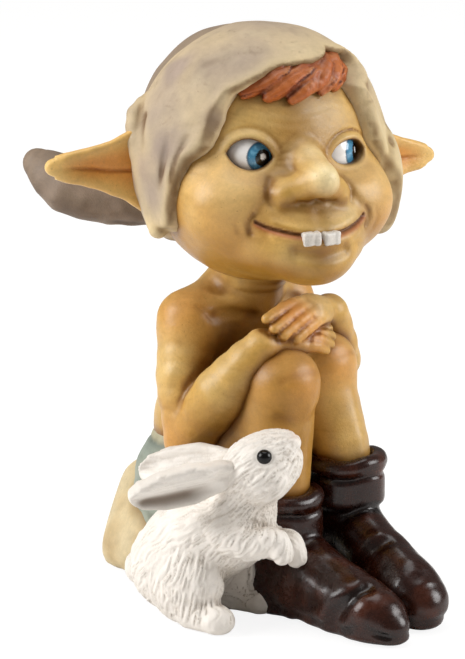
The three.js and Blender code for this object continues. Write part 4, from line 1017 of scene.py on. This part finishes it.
def paint_ear(side, s):
    along, t, _, length = ear_space(side, to_head(s.p))
    front = smooth(0, 0.8, s.n @ (HEAD_TURN @ (EAR_FRONT * vec(side, 1, 1))))
    wide = np.interp(along / length, (0, 0.5, 1), (7.5, 3.6, 1.6))
    inner = front * smooth(1, 0.2, np.abs(t) / wide)
    crease = bell(t + 0.4 + 0.5 * np.sin(along * 0.25), 0.4) * front
    s.wash_and_shade = np.clip(0.3 * s.wash_and_shade + 0.3 * crease * smooth(20, 14, along), 0, 1)
    return over(paint_skin(s), ("#ecbd6e", 0.8), ("#e08a20", 0.75 * inner * smooth(20, 13, along)),
                # Painted highlight towards the tip and on the proud edges
                ("#edc97e", 0.6 * smooth(16, 21, along) + 0.5 * s.edge))


def paint_hair(s):
    s.wash_and_shade = 0.6 * s.wash_and_shade
    # Painted highlight on proud edges and on faces that look up; painted shade in the hollows
    return over(flat("#b8622a", s.p), ("#d39663", 0.8 * s.edge + 0.25 * smooth(0.1, 0.9, s.n[:, 2])),
                ("#641f0c", 0.7 * s.deep + 0.4 * s.fine))


def paint_body(s):
    return paint_skin(s, BODY_BLUSH, BODY_SHADE)


def paint_leg(side, s):
    knee = np.array(KNEE[side])
    colour = paint_skin(s, [(knee + (0, -5.5, 2.2), 5, 0.7)], [(knee + (0, -4, -10), 6, 0.3)])
    # Painted shade: the right leg is darker all over, the left only a little
    return over(colour, ("#a97124", 0.5 if side < 0 else 0.08))


def paint_boot(s):
    return over(flat("#280c03", s.p),
                # Painted highlight on the proud edges, with lighter patches of the paint
                ("#63301a", 0.65 * s.edge + 0.3 * smooth(-0.1, 0.7, lumps(s.p, 4, 231))),
                # Painted shade in the deep hollows
                ("#160807", 0.8 * s.deep))


def paint_shorts(s):
    return over(flat("#8b9488", s.p), ("#a6aa98", 0.6 * smooth(-0.2, 0.8, lumps(s.p, 5, 241)) + 0.4 * s.edge),
                ("#b3ab8c", 0.85 * smooth(24.3, 25.2, s.p[:, 2])))


def paint_stone(s):
    return over(flat("#d8c59c", s.p), ("#b79a68", 0.7 * smooth(-0.1, 0.9, lumps(s.p, 6, 251))),
                ("#ece0c2", 0.5 * s.edge))


def paint_rabbit(s):
    x, y, z = to_rabbit(s.p).T
    shade = smooth(-2, -5, y) * smooth(13.5, 9.5, z) * smooth(6.5, 4, np.abs(x))
    s.wash_and_shade = np.clip(0.26 * s.fine + 0.42 * s.deep + 0.3 * s.wide - 0.06, 0, 1)
    return over(flat("#eee7de", s.p), ("#b9ac9d", 0.4 * shade),
                ("#e6cfc0", 0.7 * dab(to_rabbit_head(s.p), (0, -8, 1.7), 1.2)))


def paint_rabbit_ear(side, s):
    along, _, t, half = rabbit_ear_space(side, s.p)
    hollow = bell(t / half + 0.45, 0.34) * smooth(2.5, 8, along) * smooth(17.2, 15, along)
    out = RABBIT_TURN @ RABBIT_HEAD_TURN @ (vec(*RABBIT_EAR_OUT) * vec(side, 1, 1))
    s.wash_and_shade = 0.4 * s.wash_and_shade
    return over(flat("#f1ebe3", s.p), ("#6f5a44", 0.9 * hollow * smooth(0, 0.4, s.n @ out)))


# The sculpted pieces

head_box = HEAD_CENTRE - 31, HEAD_CENTRE + 31
sculpted("face", face, head_box, 0.36, paint_face, SKIN, ["head"], [hood, hair])
sculpted("hood", hood, head_box, 0.46, paint_hood, CLOTH, ["cap"])
sculpted("hood_tail", cap_tail, around(from_head(TAIL_LINE), 12), 0.6, paint_tail, BAG,
         ["cap_tail"])
for name, side in SIDES:
    box = around(from_head([(side * 14, 0, -12), (side * 39, 10, 10)]), 4)
    sculpted(name + "_ear_skin", partial(ear, side), box, 0.36, partial(paint_ear, side), SKIN,
             [name + "_ear"], [hood])
box = around(from_head([on_brow(*spot) for way, _ in HAIR_LOCKS for spot in way]), 3)
sculpted("hair", hair, box, 0.27, paint_hair, HAIR, ["hair_tuft"], [hood])
sculpted("bare_body", body, ((-24, -24, 19), (24, 16, 66)), 0.4, paint_body, SKIN,
         ["torso", "right_arm", "left_arm"], [partial(leg, -1), partial(leg, 1), shorts])
for name, side in SIDES:
    box = around([KNEE[side], ANKLE[side], HIP[side]], 9)
    sculpted(name + "_bare_leg", partial(leg, side), box, 0.48, partial(paint_leg, side), SKIN,
             [name + "_leg"], [body, partial(boot, side)])
    ankle = np.array(ANKLE[side])
    box = around([ankle + (0, 8, 3), ankle - (0, BOOT_TOE[side], 24)], 9)
    sculpted(name + "_slouch_boot", partial(boot, side), box, 0.42, paint_boot, BOOT,
             [name + "_boot"])
sculpted("sage_shorts", shorts, ((-20, -22, 0), (20, 22, 30)), 0.6, paint_shorts, SHORTS,
         ["shorts"])
sculpted("stone_seat", stone, ((-20, -10, -1), (20, 34, 24)), 0.7, paint_stone, STONE,
         ["seat_stone"], [shorts])
low, high = around([RABBIT + vec(0, 4, 1), RABBIT + vec(0, -10, 34)], 18)
low[2] = -1
sculpted("rabbit_fur", rabbit, (low, high), 0.27, paint_rabbit, FUR,
         ["rabbit_body", "rabbit_head", "rabbit_right_foreleg", "rabbit_left_foreleg", "rabbit_tail"])
box = around([RABBIT_HEAD @ RABBIT_TURN.T + RABBIT], 24)
for name, side in SIDES:
    sculpted("rabbit_" + name + "_ear_fur", partial(rabbit_ear, side), box, 0.3,
             partial(paint_rabbit_ear, side), FUR, ["rabbit_" + name + "_ear"])


# Eyes and teeth

EYE_PROUD = 0.3  # how far the eyeballs come out of their sockets
EYE_LOOK = {  # where the iris and the pupil are
    -1: ((0.1, -0.99, 0.06), (0.17, -0.98, 0.02)),
    1: ((0.72, -0.68, 0.1), (0.82, -0.56, 0.09)),
}
BEAD_RADIUS = 1.35


def eyeball(name, centre, radius, out, paint, material, node, rings=48, sides=72):
    """A painted ball whose pole looks out, with its rings closest there."""
    out = unit(out)
    side = unit(np.cross(out, (0, 0, 1)))
    rise = np.cross(side, out)
    polar = np.linspace(0, 1, rings) ** 1.25 * math.pi * 0.98 + 0.004
    turn = np.linspace(0, 2 * math.pi, sides, endpoint=False)
    a, b = [x.reshape(-1, 1) for x in np.meshgrid(polar, turn, indexing="ij")]
    way = np.cos(a) * out + np.sin(a) * (np.cos(b) * side + np.sin(b) * rise)
    i, j = [x.ravel() for x in np.meshgrid(np.arange(rings - 1), np.arange(sides), indexing="ij")]
    after = (j + 1) % sides
    quads = np.stack([i * sides + j, (i + 1) * sides + j, (i + 1) * sides + after, i * sides + after], 1)
    mesh_of(name, np.asarray(centre) + radius * way, quads, paint(way), np.zeros(len(way)), material,
            [node])


def paint_eye(iris, pupil, way):
    local = way @ HEAD_TURN
    iris, pupil = unit(iris), unit(pupil)
    from_iris, from_pupil, from_glint = [
        np.arccos(np.clip(local @ spot, -1, 1)) * EYE_RADIUS
        for spot in (iris, pupil, unit(pupil + vec(-0.02, 0, 0.05)))]
    return over(flat("#fbf8f4", way),
                ("#4688ad", smooth(2.75, 2.6, from_iris)),
                ("#7fbfd9", 0.6 * smooth(2.6, 2.3, from_iris) * smooth(0, 0.6, noise(local * 14, 301))),
                ("#1d4259", 0.7 * smooth(2.2, 2.65, from_iris) * smooth(2.8, 2.7, from_iris)),
                ("#070606", smooth(1.6, 1.48, from_pupil)),
                # Painted glint: a small white dot beside the pupil
                ("#ffffff", smooth(0.62, 0.5, from_glint)))


def tooth_centre(side):
    return vec(side * 1.75 - 0.4, -25.4, -8.95)


def tooth(side, p):
    q = (to_head(p) - tooth_centre(side)) @ turned(z=side * 11, y=-4)
    off = np.abs(q) - vec(1.2, 0.9, 0.75)
    d = size(np.maximum(off, 0)) + np.minimum(off.max(1), 0) - 0.42
    d += 0.12 * bell(q[:, 0] - 0.4, 0.3)
    return (d + 0.08 * noise(p / 0.7, 311)).astype(np.float32)


def paint_tooth(s):
    s.wash_and_shade = 0.4 * s.wash_and_shade
    # Painted highlight on the proud edges
    return over(flat("#ded7cd", s.p), ("#fbf8f3", s.edge))


for name, side in SIDES:
    flip = vec(side, 1, 1)
    eyeball(name + "_eyeball", from_head((EYE + EYE_PROUD * EYE_OUT) * flip), EYE_RADIUS,
            HEAD_TURN @ (EYE_OUT * flip), partial(paint_eye, *EYE_LOOK[side]), GLOSS,
            name + "_eye")
    spot = ((RABBIT_EYE * flip) @ RABBIT_HEAD_TURN.T + RABBIT_HEAD) @ RABBIT_TURN.T + RABBIT
    eyeball("rabbit_" + name + "_bead", spot, BEAD_RADIUS,
            RABBIT_TURN @ RABBIT_HEAD_TURN @ vec(side * 0.9, -0.35, 0.3), partial(flat, "#050404"), BEAD,
            "rabbit_" + name + "_eye", 20, 28)
for name, side in SIDES:
    sculpted(name + "_front_tooth", partial(tooth, side), around([from_head(tooth_centre(side))], 3), 0.18,
             paint_tooth, TOOTH, [name + "_tooth"], [face])


# Dowels

def drawn_steel():
    """Steel with fine drawing marks along the pin."""
    material, node, shade = new_material("pin_steel")
    scale = 4 / MM, 4 / MM, 0.3 / MM
    place = node("Mapping", {"Vector": node("TexCoord")["Object"], "Scale": scale})["Vector"]
    marks = node("TexNoise", {"Vector": place, "Scale": 1, "Detail": 4})["Fac"]
    tone, rough = [node("MapRange", {"Value": marks, "To Min": low, "To Max": high})["Result"]
                   for low, high in ((0.42, 0.62), (0.28, 0.5))]
    relief = node("Bump", {"Strength": 0.4, "Distance": 0.05 * MM, "Height": marks})["Normal"]
    shade({"Metallic": 1, "Base Color": tone, "Roughness": rough, "Normal": relief})
    return material


STEEL = drawn_steel()
for pin in ("neck_dowel", "tail_dowel"):
    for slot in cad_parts[pin].material_slots:
        slot.link, slot.material = "OBJECT", STEEL

# Studio

WIDTH, HEIGHT = 465, 659
AZIMUTH, ELEVATION = math.radians(-42), math.radians(15)
DISTANCE, PIXELS_PER_MM, SENSOR = 1, 5.6, 36
ORIGIN_PIXEL = (238, 572)
FLOOR_DROP = 0.00002  # keeps the floor clear of the flat undersides

scene = bpy.context.scene
scene.view_settings.view_transform = "Standard"
level = Vector((math.sin(AZIMUTH), -math.cos(AZIMUTH), 0))
way = level * math.cos(ELEVATION) + Vector((0, 0, math.sin(ELEVATION)))
right = Vector((math.cos(AZIMUTH), math.sin(AZIMUTH), 0))
aside, above = (ORIGIN_PIXEL[0] - WIDTH / 2) / PIXELS_PER_MM, (ORIGIN_PIXEL[1] - HEIGHT / 2) / PIXELS_PER_MM
target = (way.cross(right) * above - right * aside) * MM
camera = bpy.data.objects.new("camera", bpy.data.cameras.new("camera"))
scene.collection.objects.link(camera)
camera.data.sensor_fit = "HORIZONTAL"
camera.data.sensor_width = SENSOR
camera.data.lens = SENSOR * PIXELS_PER_MM * DISTANCE / MM / WIDTH
camera.data.clip_start, camera.data.clip_end = 0.05, 20
camera.location = target + way * DISTANCE
camera.rotation_mode = "QUATERNION"
camera.rotation_quaternion = (-way).to_track_quat("-Z", "Y")
scene.camera = camera


def softbox(name, side, height, forward, wide, power):
    """A round lamp, placed as the camera sees it, that shines on the figurine."""
    lamp = bpy.data.objects.new(name, bpy.data.lights.new(name, "AREA"))
    scene.collection.objects.link(lamp)
    lamp.data.shape = "DISK"
    lamp.data.size = wide
    lamp.data.energy = power
    aim = Vector((0, -0.008, 0.05))
    lamp.location = aim + right * side + Vector((0, 0, height)) + level * forward
    lamp.rotation_mode = "QUATERNION"
    lamp.rotation_quaternion = (aim - lamp.location).to_track_quat("-Z", "Y")


softbox("left_box", -0.6, 0.32, 0.12, 0.45, 4.6)
softbox("right_box", 0.6, 0.26, 0.05, 0.4, 3.4)
softbox("top_box", 0, 0.62, -0.08, 0.5, 1.9)

world = bpy.data.worlds.new("studio")
scene.world = world
world.use_nodes = True
world.node_tree.nodes.clear()
node = partial(add, world.node_tree)
path = node("LightPath")
seen = node("Math", {0: path["Is Camera Ray"], 1: path["Is Transmission Ray"]}, operation="MAXIMUM")[0]
ambient = node("Background", {"Color": (1, 0.97, 0.93, 1), "Strength": 0.2})[0]
backdrop = node("Background", {"Color": (1, 1, 1, 1), "Strength": 1})[0]
node("OutputWorld", {"Surface": node("MixShader", {0: seen, 1: ambient, 2: backdrop})[0]})

bpy.ops.mesh.primitive_plane_add(size=6, location=(0, 0, -FLOOR_DROP))
floor = bpy.context.object
floor.name = "floor"
paper, node, shade = new_material("paper")
shade({"Base Color": (0.86, 0.85, 0.84, 1), "Roughness": 0.9})
share = node("Math", {0: node("LightPath")["Is Camera Ray"], 1: 0.8}, operation="MULTIPLY")[0]
glow = node("Emission", {"Strength": 1.1})[0]
nodes = paper.node_tree.nodes
lit = node("MixShader", {0: share, 1: nodes["Principled BSDF"].outputs[0], 2: glow})[0]
fill(paper.node_tree, nodes["Material Output"], {"Surface": lit})
floor.data.materials.append(paper)
